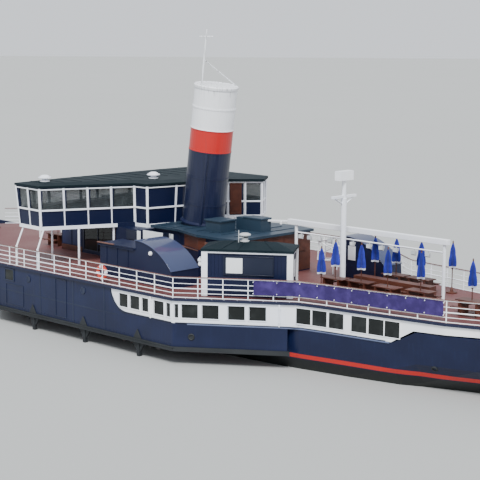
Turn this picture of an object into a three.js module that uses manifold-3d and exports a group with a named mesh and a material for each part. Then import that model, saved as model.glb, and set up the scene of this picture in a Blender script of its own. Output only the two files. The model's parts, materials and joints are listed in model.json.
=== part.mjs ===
// A paddle steamer of the river ferry kind, fitted out as a floating bar, as a 1:2 scale model.
// Frame: origin amidships on the centreline at the waterline, +X to the bow, +Y to port, +Z up.
// All sizes below are metres of the real ship; the meshes are written in millimetres of the model.
import * as THREE from "three";
import { mergeVertices } from "three/addons/utils/BufferGeometryUtils.js";
import Module from "manifold-3d";

const wasm = await Module();
wasm.setup();

// Scale: millimetres of the 1:2 model for one metre of the ship.
const MODEL_MM = 500;
// Gap left between two pieces that rest on each other.
const GAP = 0.0006;
// Room around a shaft that turns, so that its corners pass the flats of the bore.
const RUNNING = 0.0016;

// Levels above the water.
const KEEL = -1.4;
const MAIN_DECK = 2.25;
const DECK_UNDER = 3.44;
const DECK = 3.6;
const GUARD_LOW = 0.76;
const GUARD_TOP = 1.0;
const BRIDGE_UNDER = 5.74;
const BRIDGE_FLOOR = 5.9;
const BRIDGE_EAVE = 8.24;
const CASING_TOP = 5.86;
const RAIL_HEIGHT = 1.07;
const AFT_FLOOR = 2.3;
const FORE_FLOOR = 2.4;

// Edge of the promenade deck, from aft to forward: distance ahead of amidships, half breadth.
const DECK_EDGE = [
  [-23.5, 0.45], [-23.1, 1.15], [-22.3, 1.8], [-21.2, 2.38], [-19.8, 2.95], [-18.2, 3.52],
  [-15.2, 4.02], [-11.6, 4.53], [-10.0, 4.84], [-4.6, 8.6], [10.9, 8.6], [16.3, 4.84],
  [18.6, 4.45], [21.0, 3.75], [22.8, 2.8], [23.8, 1.7], [24.2, 0.6],
];

// Hull stations: distance ahead of amidships, keel height, top height, then half breadths
// at the floor, at the waterline, at the rubbing strake and at the top.
const HULL = [
  [-31.4, 1.7, 3.62, 0.1, 0.22, 0.4, 0.55],
  [-30.2, 1.3, 3.52, 0.3, 0.7, 1.05, 1.3],
  [-28.0, 0.6, 3.38, 0.4, 0.95, 1.55, 1.95],
  [-25.6, -0.5, 3.22, 0.2, 0.8, 1.75, 2.3],
  [-22.6, -1.3, 3.05, 0.25, 1.0, 2.2, 2.7],
  [-19.6, KEEL, 2.95, 0.5, 1.8, 2.86, 3.02],
  [-16.6, KEEL, 2.9, 1.3, 2.86, 3.54, 3.68],
  [-15.4, KEEL, MAIN_DECK, 1.8, 3.2, 3.72, 3.86],
  [-12.5, KEEL, MAIN_DECK, 2.7, 3.85, 4.2, 4.29],
  [-10.0, KEEL, MAIN_DECK, 3.25, 4.3, 4.68, 4.745],
  [-8.0, KEEL, MAIN_DECK, 3.7, 4.6, 4.8, 4.84],
  [-3.0, KEEL, MAIN_DECK, 4.3, 4.98, 5.05, 5.05],
  [6.0, KEEL, MAIN_DECK, 4.3, 4.98, 5.05, 5.05],
  [12.0, KEEL, MAIN_DECK, 3.8, 4.75, 4.92, 4.98],
  [17.0, KEEL, MAIN_DECK, 2.8, 4.05, 4.42, 4.58],
  [18.4, KEEL, 3.0, 2.4, 3.75, 4.2, 4.42],
  [22.0, KEEL, 3.2, 1.4, 2.85, 3.45, 3.85],
  [26.5, -1.38, 3.55, 0.5, 1.6, 2.2, 2.85],
  [30.0, -1.3, 3.95, 0.12, 0.5, 0.9, 1.5],
  [32.0, -1.0, 4.25, 0.05, 0.08, 0.12, 0.35],
];
const HULL_LEVELS = [0, 0, 0.384, 0.63, 1];
const HALF_BEAM = 5.05;

// Paddle wheels on one shaft, and the wells that they turn in.
const SHAFT_Z = 1.1;
const SHAFT_R = 0.18;
const WHEEL = { radius: 2.25, inner: 5.62, outer: 6.72, floats: 10, floatDepth: 0.6 };
const WELL = { half: 2.4, inner: 5.25, outer: 7.05 };

// Funnel: foot and top of its axis, radius and plate.
const FUNNEL = { foot: [1.86, 6.0], top: [0.76, 14.25], radius: 1.25, plate: 0.07 };

// Closed mesh as a solid, with its faces turned outward.
const solidOf = (geometry) => {
  const bare = geometry.clone();
  bare.deleteAttribute("normal");
  bare.deleteAttribute("uv");
  const merged = mergeVertices(bare, 1e-5);
  const vertProperties = merged.attributes.position.array;
  const triVerts = new Uint32Array(merged.index.array);
  const made = new wasm.Manifold(new wasm.Mesh({ numProp: 3, vertProperties, triVerts }));
  if (made.volume() > 0) {
    return made;
  }
  return new wasm.Manifold(new wasm.Mesh({ numProp: 3, vertProperties, triVerts: triVerts.reverse() }));
};

const union = (...parts) => parts.reduce((all, part) => all.add(part));
const cut = (body, ...tools) => tools.reduce((left, tool) => left.subtract(tool), body);
const mirrored = (body) => body.mirror([0, 1, 0]);

// Plan outline of both sides, anticlockwise, from a list of x and half breadth from aft to forward.
const bothSides = (rows) => [...rows.map(([x, y]) => [x, -y]), ...rows.toReversed().map(([x, y]) => [x, y])];

// Box between two corners.
const block = (x0, x1, y0, y1, z0, z1) => {
  const box = new THREE.BoxGeometry(x1 - x0, y1 - y0, z1 - z0);
  return solidOf(box.translate((x0 + x1) / 2, (y0 + y1) / 2, (z0 + z1) / 2));
};

// Upright prism of a plan outline.
const plate = (outline, z0, z1) => {
  const shape = new THREE.Shape(outline.map(([x, y]) => new THREE.Vector2(x, y)));
  const body = new THREE.ExtrudeGeometry(shape, { depth: z1 - z0, bevelEnabled: false });
  return solidOf(body.translate(0, 0, z0));
};

// Prism across the ship of a side outline of x and z.
const slab = (outline, y0, y1) => {
  const shape = new THREE.Shape(outline.map(([x, z]) => new THREE.Vector2(x, z)));
  const body = new THREE.ExtrudeGeometry(shape, { depth: y1 - y0, bevelEnabled: false });
  return solidOf(body.rotateX(Math.PI / 2).translate(0, y1, 0));
};

// Round bar between two points, tapering if a second radius is given.
const rod = (from, to, radius, sides = 8, endRadius = radius) => {
  const a = new THREE.Vector3(...from);
  const b = new THREE.Vector3(...to);
  const bar = new THREE.CylinderGeometry(endRadius, radius, a.distanceTo(b), sides);
  const along = b.clone().sub(a).normalize();
  bar.applyQuaternion(new THREE.Quaternion().setFromUnitVectors(new THREE.Vector3(0, 1, 0), along));
  return solidOf(bar.translate(...a.add(b).multiplyScalar(0.5).toArray()));
};

// Square bar between two points.
const beam = (from, to, width) => rod(from, to, width * Math.SQRT1_2, 4);

// Closed skin through rings of points of equal count. The flat ends are cut into triangles as seen
// by two of the three coordinates.
const loft = (rings, [u, v]) => {
  const count = rings[0].length;
  const faces = [];
  for (let r = 0; r + 1 < rings.length; r++) {
    for (let i = 0; i < count; i++) {
      const a = r * count + i;
      const b = r * count + ((i + 1) % count);
      faces.push(a, a + count, b, b, a + count, b + count);
    }
  }
  const cap = (ring) => {
    const contour = ring.map((point) => new THREE.Vector2(point[u], point[v]));
    const triangles = THREE.ShapeUtils.triangulateShape(contour, []);
    const same = triangles.reduce((sum, corners) =>
      sum + THREE.ShapeUtils.area(corners.map((corner) => contour[corner])), 0);
    const turned = Math.sign(same) === Math.sign(THREE.ShapeUtils.area(contour));
    return turned ? triangles : triangles.map((corners) => corners.toReversed());
  };
  const last = (rings.length - 1) * count;
  faces.push(...cap(rings[0]).flat());
  faces.push(...cap(rings.at(-1)).flatMap((corners) => corners.toReversed().map((i) => i + last)));
  const skin = new THREE.BufferGeometry();
  skin.setAttribute("position", new THREE.Float32BufferAttribute(rings.flat(2), 3));
  skin.setIndex(faces);
  return solidOf(skin.toNonIndexed());
};
const ACROSS = [1, 2];
const IN_PLAN = [0, 1];

// Shape turned about an upright axis at x, y.
const turned = (profile, x, y, sides = 24) => {
  const points = profile.map(([r, z]) => new THREE.Vector2(r, z));
  const body = new THREE.LatheGeometry(points, sides);
  return solidOf(body.rotateX(Math.PI / 2).translate(x, y, 0));
};

// Value of a table column at x, between its rows.
const tableAt = (rows, x, column = 1) => {
  const next = rows.findIndex((row) => row[0] >= x);
  if (next <= 0) {
    return rows.at(next)[column];
  }
  const [low, high] = [rows[next - 1], rows[next]];
  return low[column] + ((x - low[0]) / (high[0] - low[0])) * (high[column] - low[column]);
};

// Deck edge on both sides between two stations, moved inward by a distance.
const deckOutline = (inset, from = -Infinity, to = Infinity) => {
  const rows = DECK_EDGE.filter(([x]) => x > from && x < to);
  if (from > DECK_EDGE[0][0]) {
    rows.unshift([from, tableAt(DECK_EDGE, from)]);
  }
  if (to < DECK_EDGE.at(-1)[0]) {
    rows.push([to, tableAt(DECK_EDGE, to)]);
  }
  return insetOutline(bothSides(rows), inset);
};

// Plan outline, anticlockwise, with each side moved inward by a distance.
function insetOutline(points, distance) {
  const side = (a, b) => {
    const length = Math.hypot(b[0] - a[0], b[1] - a[1]);
    return [(b[0] - a[0]) / length, (b[1] - a[1]) / length];
  };
  return points.map((point, i) => {
    const before = side(points.at(i - 1), point);
    const after = side(point, points[(i + 1) % points.length]);
    const mitre = 1 + before[0] * after[0] + before[1] * after[1];
    const nx = -(before[1] + after[1]) / mitre;
    const ny = (before[0] + after[0]) / mitre;
    return [point[0] + nx * distance, point[1] + ny * distance];
  });
}

const wallRing = (outline, thickness, z0, z1) =>
  cut(plate(outline, z0, z1), plate(insetOutline(outline, thickness), z0 - 0.1, z1 + 0.1));

// Bore across the ship for the paddle shaft.
const shaftBore = (half, radius) => rod([0, -half, SHAFT_Z], [0, half, SHAFT_Z], radius, 32);

// Hull with raised ends, cut for the mooring decks, the engine room and the paddle shaft.
function hull() {
  const ring = ([x, keel, top, ...halves]) => {
    const heights = HULL_LEVELS.map((part) => keel + part * (top - keel));
    const port = [[x, 0.001, keel], ...halves.map((half, i) => [x, half, heights[i + 1]])];
    const starboard = port.toReversed().map(([px, py, pz]) => [px, -py, pz]);
    return [...port, ...starboard];
  };
  const shell = loft(HULL.map(ring), ACROSS);
  const well = (from, to, floor) => {
    const rows = HULL.filter(([x]) => x > from && x < to).map((row) => [row[0], row[6] - 0.14]);
    return plate(bothSides(rows), floor, 5);
  };
  const post = block(-26.4, -25.2, -0.1, 0.1, KEEL, 0.1);
  const heel = block(-26.9, -22.6, -0.12, 0.12, KEEL - 0.08, KEEL + 0.08);
  return cut(
    union(shell, post, heel),
    well(-30.5, -19, AFT_FLOOR),
    well(18, 30.5, FORE_FLOOR),
    block(-5.6, 8, -2.6, 2.6, KEEL + 0.3, MAIN_DECK + 1),
    shaftBore(6, SHAFT_R + RUNNING),
  );
}

// Engine and boiler as one plain block in the engine room, open round the shaft.
const engine = () => union(
  block(-4.8, 7.2, -2.0, 2.0, KEEL + 0.3 + GAP, 1.6),
  block(-0.8, 0.8, -2.3, 2.3, KEEL + 0.3 + GAP, 2.1),
).subtract(shaftBore(3, SHAFT_R + 0.06));

// Forward end of the white band on the sponson: a curve from the main deck to the promenade deck.
const BAND_END = [
  [-0.9, MAIN_DECK], [-0.6, 2.3], [-0.3, 2.42], [0, 2.7], [0.22, 3.05], [0.35, DECK_UNDER], [0.5, 4],
];
const bandEnd = (shift) => BAND_END.map(([x, z]) => [x + shift, z]);

// Sponson on the port side: floor, side plating and the wheel's well.
function sponson() {
  const edge = DECK_EDGE.filter(([x]) => x > -10.5 && x < 17);
  const trim = insetOutline([...edge.map(([x, y]) => [x, y]).toReversed(), [-10, 4], [16.3, 4]], 0.1);
  const body = plate(trim, GUARD_TOP, DECK_UNDER - GAP);
  const inner = plate(insetOutline(trim, 0.1), GUARD_TOP + 0.12, DECK_UNDER + 1);
  const whiteAft = slab([[-12, MAIN_DECK], ...bandEnd(0.005), [-12, 4]], 4, 9);
  const whiteFore = slab([[10.9, MAIN_DECK], [18, MAIN_DECK], [18, 4], [10.9, 4]], 4, 9);
  const { half, inner: low, outer } = WELL;
  const wellBox = block(-half - 0.1, half + 0.1, low - 0.06, outer + 0.1, GUARD_TOP, DECK_UNDER - GAP);
  const wellRoom = block(-half, half, low, outer, GUARD_TOP - 1, DECK_UNDER + 1);
  const side = block(-20, 20, 0, HALF_BEAM + GAP, -2, 5);
  const axle = rod([0, 5, SHAFT_Z], [0, 5.5, SHAFT_Z], SHAFT_R + 0.03, 16);
  return cut(union(cut(body, inner, whiteAft, whiteFore), wellBox), wellRoom, side, axle);
}

// Rubbing strake along the sponson's lower edge with its posts and brackets, port side.
function guard() {
  const edge = DECK_EDGE.filter(([x]) => x > -10.5 && x < 17).toReversed();
  const outer = [...edge, [-10, 4], [16.3, 4]];
  const strake = cut(
    plate(outer, GUARD_LOW, GUARD_TOP - GAP),
    plate(insetOutline(outer, 0.35), 0, 2),
    block(-20, 20, 0, HALF_BEAM + 0.001, 0, 2),
  );
  const posts = [-1.85, 2.7, 7.3].map((x) => union(
    block(x - 0.1, x + 0.1, 8.3, 8.5, -0.7, GUARD_LOW + 0.05),
    slab([[x - 0.08, 0.2], [x + 0.08, 0.2], [x + 0.5, GUARD_LOW + 0.05], [x - 0.5, GUARD_LOW + 0.05]],
      8.34, 8.46),
  ));
  return union(strake, ...posts);
}

// Windows of the white saloon band, port and starboard alike: centre and width along the ship.
const BAND_WINDOWS_AFT = [
  [-0.705, 0.75], [-1.62, 0.8], [-2.45, 0.56], [-3.52, 0.82], [-4.255, 0.35], [-4.73, 0.2],
  [-5.305, 0.75], [-6.2, 0.76], [-7.32, 0.76], [-8.23, 0.76],
  [-10.3, 0.7], [-11.21, 0.74], [-12.18, 0.76], [-13.5, 0.78], [-14.47, 0.76], [-15.36, 0.72],
];
const BAND_WINDOWS_FORE = [
  [11.7, 0.7], [12.65, 0.7], [13.7, 0.7], [14.65, 0.7], [16.9, 0.7], [17.8, 0.7],
];
const BAND_GLASS = [2.53, 3.27];
const BAND_PLATE = 0.06;

const bandCuts = (windows) => windows.map(([x, width]) =>
  block(x - width / 2, x + width / 2, -9, 9, ...BAND_GLASS));

// Room taken by the hull's raised ends: its rising top, then the floor of its mooring deck.
const raisedAft = (room) => slab([
  [-15.3, 2], [-15.3, MAIN_DECK + room], [-16.5, 2.96 + room], [-20.1, 3.02 + room],
  [-20.1, AFT_FLOOR + room], [-30, AFT_FLOOR + room], [-30, 2]], -9, 9);
const raisedFore = (room) => slab([
  [16.9, 2], [16.9, MAIN_DECK + room], [18.3, 3.02 + room], [19.8, 3.12 + room],
  [19.8, FORE_FLOOR + room], [30, FORE_FLOOR + room], [30, 2]], -9, 9);
const aheadOfBand = slab(
  [[BAND_END[0][0] - 0.005, 2], [30, 2], [30, 4], ...bandEnd(-0.005).toReversed()], -9, 9);
const abaftBand = block(-40, 10.905, -9, 9, 2, 4);

const saloonRing = () => wallRing(deckOutline(0.1), BAND_PLATE, MAIN_DECK + GAP, DECK_UNDER - GAP);
const saloonAft = () => cut(saloonRing(), aheadOfBand, raisedAft(GAP), ...bandCuts(BAND_WINDOWS_AFT));
const saloonFore = () => cut(saloonRing(), abaftBand, raisedFore(GAP), ...bandCuts(BAND_WINDOWS_FORE));

// Dark glazing behind the band's windows.
const glassRing = () => wallRing(deckOutline(0.1 + BAND_PLATE + GAP), 0.02, 2.4, 3.4);
const glassAft = () => cut(glassRing(), aheadOfBand, raisedAft(0.02));
const glassFore = () => cut(glassRing(), abaftBand, raisedFore(0.02));

// Promenade deck from side to side.
const promenadeDeck = () => plate(deckOutline(0), DECK_UNDER, DECK);

// Paddle wheel: two rims, spokes, hub and floats in one piece, port side.
function paddleWheel() {
  const { radius, inner, outer, floats, floatDepth } = WHEEL;
  const hub = rod([0, inner, SHAFT_Z], [0, outer, SHAFT_Z], 0.4, 10);
  const parts = [hub];
  for (const y of [inner + 0.12, outer - 0.12]) {
    const rim = cut(
      rod([0, y - 0.05, SHAFT_Z], [0, y + 0.05, SHAFT_Z], radius - 0.35, 20),
      rod([0, y - 0.1, SHAFT_Z], [0, y + 0.1, SHAFT_Z], radius - 0.55, 20),
    );
    parts.push(rim);
  }
  for (let i = 0; i < floats; i++) {
    const turn = (i / floats) * 360;
    const board = block(-0.03, 0.03, inner, outer, radius - floatDepth, radius);
    const spokes = [inner + 0.12, outer - 0.12].map((y) =>
      block(-0.05, 0.05, y - 0.045, y + 0.045, 0.3, radius - 0.3));
    parts.push(union(board, ...spokes).rotate([0, turn, 0]).translate([0, 0, SHAFT_Z]));
  }
  const seat = rod([0, inner - 1, SHAFT_Z], [0, outer + 1, SHAFT_Z], SHAFT_R + GAP, 16);
  return cut(union(...parts), seat);
}

const paddleShaft = () => rod([0, -WHEEL.outer - 0.1, SHAFT_Z], [0, WHEEL.outer + 0.1, SHAFT_Z], SHAFT_R, 16);

// Rudder: blade and stock, hung behind the stern post.
const RUDDER_X = -26.62;
const rudder = () => union(
  slab([[-28.3, -1.2], [RUDDER_X, -1.25], [RUDDER_X, -0.3], [-28.3, 0.15]], -0.06, 0.06),
  rod([RUDDER_X, 0, KEEL + 0.08 + GAP], [RUDDER_X, 0, -0.12], 0.12, 16),
);

// Bridge, port side from aft to forward: place, then the number of windows in the wall that follows.
// The walls flare outward as they rise.
const BRIDGE_PORT = [
  [3.7, 0, 0], [4.2, 2.3, 0], [5.2, 2.4, 4], [7.57, 7.62, 2], [9.7, 7.5, 3], [9.9, 4.0, 3], [9.9, 0, 0],
];
const BRIDGE_FLARE = 0.07;
const BRIDGE_WALL = 0.08;
const BRIDGE_SILL = 6.94;
const BRIDGE_HEAD = 8.08;
const bridgeOutline = (inset) =>
  insetOutline(bothSides(BRIDGE_PORT).filter(([, y], i) => y !== 0 || i < BRIDGE_PORT.length), inset);
const bridgeRing = (inset, z) =>
  bridgeOutline(inset - BRIDGE_FLARE * (z - BRIDGE_FLOOR)).map(([x, y]) => [x, y, z]);
const flaredBody = (inset, z0, z1) => loft([bridgeRing(inset, z0), bridgeRing(inset, z1)], IN_PLAN);
const flaredWall = (inset, thickness, z0, z1) =>
  cut(flaredBody(inset, z0, z1), flaredBody(inset + thickness, z0 - 0.1, z1 + 0.1));

// Supports of a bridge wing: upright posts, then slanted struts to the tops of posts at the deck edge.
const BRIDGE_POSTS = [[6.64, 5.57], [5.86, 3.53], [9.12, 5.61]];
const BRIDGE_STRUTS = [{ from: [7.55, 7.45], to: [6.95, 8.38] }, { from: [9.6, 7.35], to: [8.95, 8.38] }];
const STRUT_FOOT = 4.75;

function bridgeFloor() {
  const posts = BRIDGE_POSTS.map(([x, y]) => rod([x, y, DECK + GAP], [x, y, BRIDGE_UNDER + 0.05], 0.065));
  const struts = BRIDGE_STRUTS.map(({ from, to }) => union(
    rod([...from, BRIDGE_UNDER + 0.05], [...to, STRUT_FOOT], 0.05),
    rod([...to, DECK + GAP], [...to, STRUT_FOOT + 0.05], 0.07),
  ));
  const supports = union(...posts, ...struts);
  return union(plate(bridgeOutline(-0.05), BRIDGE_UNDER, BRIDGE_FLOOR), supports, mirrored(supports));
}

function bridgeWalls() {
  const panes = [];
  for (let i = 0; i + 1 < BRIDGE_PORT.length; i++) {
    const [[ax, ay, count], [bx, by]] = [BRIDGE_PORT[i], BRIDGE_PORT[i + 1]];
    const pitch = Math.hypot(bx - ax, by - ay) / count;
    const turn = (Math.atan2(by - ay, bx - ax) * 180) / Math.PI;
    for (let n = 0; n < count; n++) {
      const part = (n + 0.5) / count;
      const pane = block(-pitch / 2 + 0.07, pitch / 2 - 0.07, -0.15, 0.3, BRIDGE_SILL, BRIDGE_HEAD)
        .rotate([0, 0, turn])
        .translate([ax + (bx - ax) * part, ay + (by - ay) * part, 0]);
      panes.push(pane, mirrored(pane));
    }
  }
  return cut(flaredWall(0, BRIDGE_WALL, BRIDGE_FLOOR + GAP, BRIDGE_EAVE), ...panes);
}

const bridgeGlass = () =>
  flaredWall(BRIDGE_WALL + GAP, 0.02, BRIDGE_SILL - 0.06, BRIDGE_HEAD + 0.06);

function bridgeRoof() {
  const eave = bridgeOutline(-0.25);
  const low = eave.map(([x, y]) => [x, y, BRIDGE_EAVE + GAP]);
  const mid = eave.map(([x, y]) => [x, y, BRIDGE_EAVE + 0.12]);
  const high = bridgeOutline(0.55).map(([x, y]) => [x, y, BRIDGE_EAVE + 0.22]);
  const vents = [[8.6, 6.5], [5.55, 0.6], [8.6, -6.5]].map(([x, y]) =>
    turned([[0, 8.4], [0.1, 8.4], [0.1, 8.66], [0.26, 8.66], [0.2, 8.78], [0, 8.82]], x, y, 12));
  return union(loft([low, mid, high], IN_PLAN), ...vents);
}

// Glazed lobby abaft the starboard wing of the bridge: plan, then its posts down to the deck.
const LOBBY = [[5.33, -3.35], [4.6, -3.6], [3.98, -4.27], [2.53, -5.83], [3.6, -7.3], [7.12, -7.3]];
const LOBBY_POSTS = [[4.1, -4.4], [2.75, -5.85], [3.7, -7.15], [6.8, -7.15]];
const LOBBY_EAVE = 8.04;

function lobbyWalls() {
  const floor = plate(LOBBY, BRIDGE_UNDER, BRIDGE_FLOOR);
  const walls = wallRing(LOBBY, 0.06, BRIDGE_FLOOR - 0.02, LOBBY_EAVE);
  const posts = LOBBY_POSTS.map(([x, y]) => rod([x, y, DECK + GAP], [x, y, BRIDGE_UNDER + 0.05], 0.06));
  const doorway = [[0.06, 0.38, BRIDGE_FLOOR + 0.1]];
  const window = [[0.44, 0.96, 6.8]];
  const halves = [[0.05, 0.48, 6.8], [0.52, 0.95, 6.8]];
  const openings = [doorway.concat(window), halves, halves].flatMap((parts, i) => {
    const [[ax, ay], [bx, by]] = [LOBBY[i + 2], LOBBY[i + 3]];
    const length = Math.hypot(bx - ax, by - ay);
    const turn = (Math.atan2(by - ay, bx - ax) * 180) / Math.PI;
    return parts.map(([start, end, sill]) =>
      block(start * length, end * length, -0.3, 0.3, sill, LOBBY_EAVE - 0.16)
        .rotate([0, 0, turn])
        .translate([ax, ay, 0]));
  });
  return cut(union(floor, walls, ...posts), ...openings);
}

const lobbyRoof = () => union(
  plate(LOBBY, LOBBY_EAVE + GAP, LOBBY_EAVE + 0.15),
  plate(insetOutline(LOBBY, -0.16), LOBBY_EAVE + GAP, LOBBY_EAVE + 0.15)
    .subtract(flaredBody(-0.12, LOBBY_EAVE - 1, LOBBY_EAVE + 1)),
);

// House under the bridge and the casing round the engine and the funnel's foot.
const houseDoor = { from: 6.0, to: 6.9, sill: 3.72, head: 5.35 };

// Half breadths of the house: broad abaft the passage, narrow ahead of it.
const HOUSE = { aft: 3.7, step: 5.85, fore: 12.0, broad: 3.4, narrow: 2.6 };

function foreHouse() {
  const { aft, step, fore, broad, narrow } = HOUSE;
  const outline = bothSides([[aft, broad], [step, broad], [step, narrow], [fore, narrow]]);
  const top = BRIDGE_UNDER - GAP;
  const walls = union(wallRing(outline, 0.1, DECK + GAP, top), plate(outline, top - 0.08, top));
  const windows = [7.5, 8.5].map((x) => block(x - 0.3, x + 0.3, -3, 3, 4.4, 5.1));
  const front = [-1.5, 0, 1.5].map((y) =>
    block(fore - 0.2, fore + 0.2, y - 0.45, y + 0.45, 4.4, 5.1));
  const { from, to, sill, head } = houseDoor;
  const door = block(from, to, narrow - 0.3, narrow + 0.2, sill, head);
  return cut(walls, ...windows, ...front, door).add(doorLugs(houseDoor, narrow));
}

// Plan of the casing, port side from aft to forward, and the place of its side doors.
const CASING = [[-3.95, 3.05], [-2.9, 3.26], [-1.1, 3.26], [1.3, 2.5], [3.4, 2.5]];
const CASING_SIDE = 3.26;
const casingOutline = (grow) => insetOutline(bothSides(CASING), -grow);

const casingDoor = { from: -2.6, to: -1.75, sill: 3.72, head: 5.55 };

function casing() {
  const { from, to, sill, head } = casingDoor;
  const door = block(from, to, CASING_SIDE - 0.3, CASING_SIDE + 0.3, sill, head);
  const lugs = doorLugs(casingDoor, CASING_SIDE);
  const walls = wallRing(casingOutline(0), 0.1, DECK + GAP, CASING_TOP);
  return union(cut(walls, door, mirrored(door)), lugs, mirrored(lugs));
}

// Roof of the casing with the two boxes that stand on it.
const casingRoof = () => union(
  plate(casingOutline(0.16), CASING_TOP + GAP, FUNNEL.foot[1] - GAP),
  block(-1.65, -0.45, 0.85, 2.05, CASING_TOP + 0.05, 6.65),
  plate([[-3.0, -0.7], [-2.4, -1.1], [-1.6, -1.1], [-1.05, -0.55], [-1.05, 0.15], [-3.0, 0.15]],
    CASING_TOP + 0.05, 6.72),
);

// Hinged door in a wall along the ship, swung outward about an upright barrel at its after edge.
const DOOR = { room: 0.012, leaf: 0.06, setBack: 0.02, barrel: 0.025, stand: 0.035, short: 0.25 };

function doorLeaf({ from, to, sill, head }, face) {
  const { room, leaf, setBack, barrel, stand, short } = DOOR;
  const front = face - setBack;
  const low = sill + short;
  const high = head - short;
  return union(
    block(from + room, to - room, front - leaf, front, sill + room, head - room),
    rod([from, face + stand, low], [from, face + stand, high], barrel, 12),
    block(from + room, from + 0.08, front - 0.01, face + stand, low + 0.1, high - 0.1),
    block(from, from + 0.05, face + stand - 0.01, face + stand + 0.01, low + 0.1, high - 0.1),
    rod([to - 0.12, front - 0.01, 4.6], [to - 0.12, front + 0.07, 4.6], 0.03, 8),
  );
}

// Lugs on the wall above and below the door's barrel.
function doorLugs({ from, sill, head }, face) {
  const { stand, short } = DOOR;
  const lug = (low, high) => union(
    block(from - 0.07, from - 0.01, face - 0.03, face + stand + 0.02, low, high),
    block(from - 0.02, from + 0.025, face + 0.01, face + stand + 0.02, low, high),
  );
  return union(
    lug(sill + short - 0.06, sill + short - GAP),
    lug(head - short + GAP, head - short + 0.06),
  );
}

// Point at a height, beside the funnel's raked axis.
const FUNNEL_LEAN = (FUNNEL.top[0] - FUNNEL.foot[0]) / (FUNNEL.top[1] - FUNNEL.foot[1]);
const byFunnel = (z, dx = 0, y = 0) => [FUNNEL.foot[0] + FUNNEL_LEAN * (z - FUNNEL.foot[1]) + dx, y, z];

// Funnel tube, cut level at its foot, with the steam pipe up its port after side and an aerial on its rim.
function funnel() {
  const { foot, top, radius, plate: skin } = FUNNEL;
  const tube = cut(
    rod(byFunnel(foot[1] - 1), byFunnel(top[1]), radius, 40),
    rod(byFunnel(foot[1] - 2), byFunnel(top[1] + 1), radius - skin, 40),
  );
  const pipe = rod(byFunnel(foot[1] - 1, -0.8, 1.0), byFunnel(10.3, -0.8, 1.0), 0.09, 10);
  const pole = rod(byFunnel(13.9, 0, 1.2), byFunnel(17.4, 0, 1.2), 0.05, 8);
  const yard = rod(byFunnel(17.0, 0.28, 1.48), byFunnel(17.0, -0.28, 0.92), 0.03, 6);
  const stay = rod(byFunnel(15.7, 0, 1.2), byFunnel(14.2, -0.5, -1.08), 0.03, 6);
  return cut(union(tube, pipe, pole, yard, stay), block(-9, 9, -9, 9, 0, foot[1] + GAP));
}

// Kiosk on the after part of the port sponson.
const KIOSK = { x: -5.35, y: 7.0, turn: 214.7, length: 4.6, depth: 2.1, eave: 5.98 };
const inKiosk = (body) => body.rotate([0, 0, KIOSK.turn]).translate([KIOSK.x, KIOSK.y, 0]);
const kioskDoor = { from: 0.5, to: 1.35, sill: 3.7, head: 5.6 };

function kioskWalls() {
  const { length, depth, eave } = KIOSK;
  const ring = wallRing([[0, 0], [length, 0], [length, depth], [0, depth]], 0.08, DECK + GAP, eave);
  const posts = [[0.06, 0.06], [length - 0.06, 0.06], [length - 0.06, depth - 0.06], [0.06, depth - 0.06]];
  const corners = posts.map(([x, y]) => block(x - 0.1, x + 0.1, y - 0.1, y + 0.1, DECK + GAP, eave));
  const { from, to, sill, head } = kioskDoor;
  const door = block(from, to, depth - 0.3, depth + 0.3, sill, head);
  return inKiosk(cut(union(ring, ...corners), door).add(doorLugs(kioskDoor, depth)));
}

function kioskRoof() {
  const { length, depth, eave } = KIOSK;
  const low = insetOutline([[0, 0], [length, 0], [length, depth], [0, depth]], -0.14);
  const ridge = [[0.9, 1.0], [length - 0.9, 1.0], [length - 0.9, depth - 1.0], [0.9, depth - 1.0]];
  const rings = [
    low.map(([x, y]) => [x, y, eave + GAP]),
    low.map(([x, y]) => [x, y, eave + 0.13]),
    ridge.map(([x, y]) => [x, y, eave + 0.42]),
  ];
  const cowl = [[0, 6.2], [0.09, 6.2], [0.09, 6.6], [0.2, 6.6], [0.15, 6.7], [0, 6.72]];
  const vent = turned(cowl, 2.0, 1.05, 12);
  return inKiosk(union(loft(rings, IN_PLAN), vent));
}

const kioskLeaf = () => inKiosk(doorLeaf(kioskDoor, KIOSK.depth));

// Signal mast on the centreline aft.
const MAST_X = -8.95;
const mast = () => union(
  rod([MAST_X, 0, DECK + GAP], [MAST_X, 0, 9.5], 0.11, 12, 0.08),
  beam([MAST_X, -0.95, 8.56], [MAST_X, 0.95, 8.56], 0.1),
  beam([MAST_X, -0.8, 8.52], [MAST_X, 0, 8.1], 0.06),
  beam([MAST_X, 0.8, 8.52], [MAST_X, 0, 8.1], 0.06),
  block(MAST_X - 0.2, MAST_X + 0.2, -0.55, 0.55, 9.45, 9.95),
);

// Open frame of white tube over the after deck.
function pergola(x0, middle, x1, y) {
  const top = 6.62;
  const posts = [x0, middle, x1].map((x) =>
    rod([x, y, DECK + GAP], [x, y, top], 0.09, 10));
  return union(
    beam([x0 - 0.2, y, top], [x1 + 0.2, y, top], 0.2),
    beam([x0, y, top - 0.55], [x1, y, top - 0.55], 0.06),
    ...posts,
  );
}

// Hood over a stair, on the port side, with a quarter-round roof that falls aft.
const HOOD = { radius: 3.65, centre: 2.26, skin: 0.08, length: 2.95, sweep: 52, steps: 8 };

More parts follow.
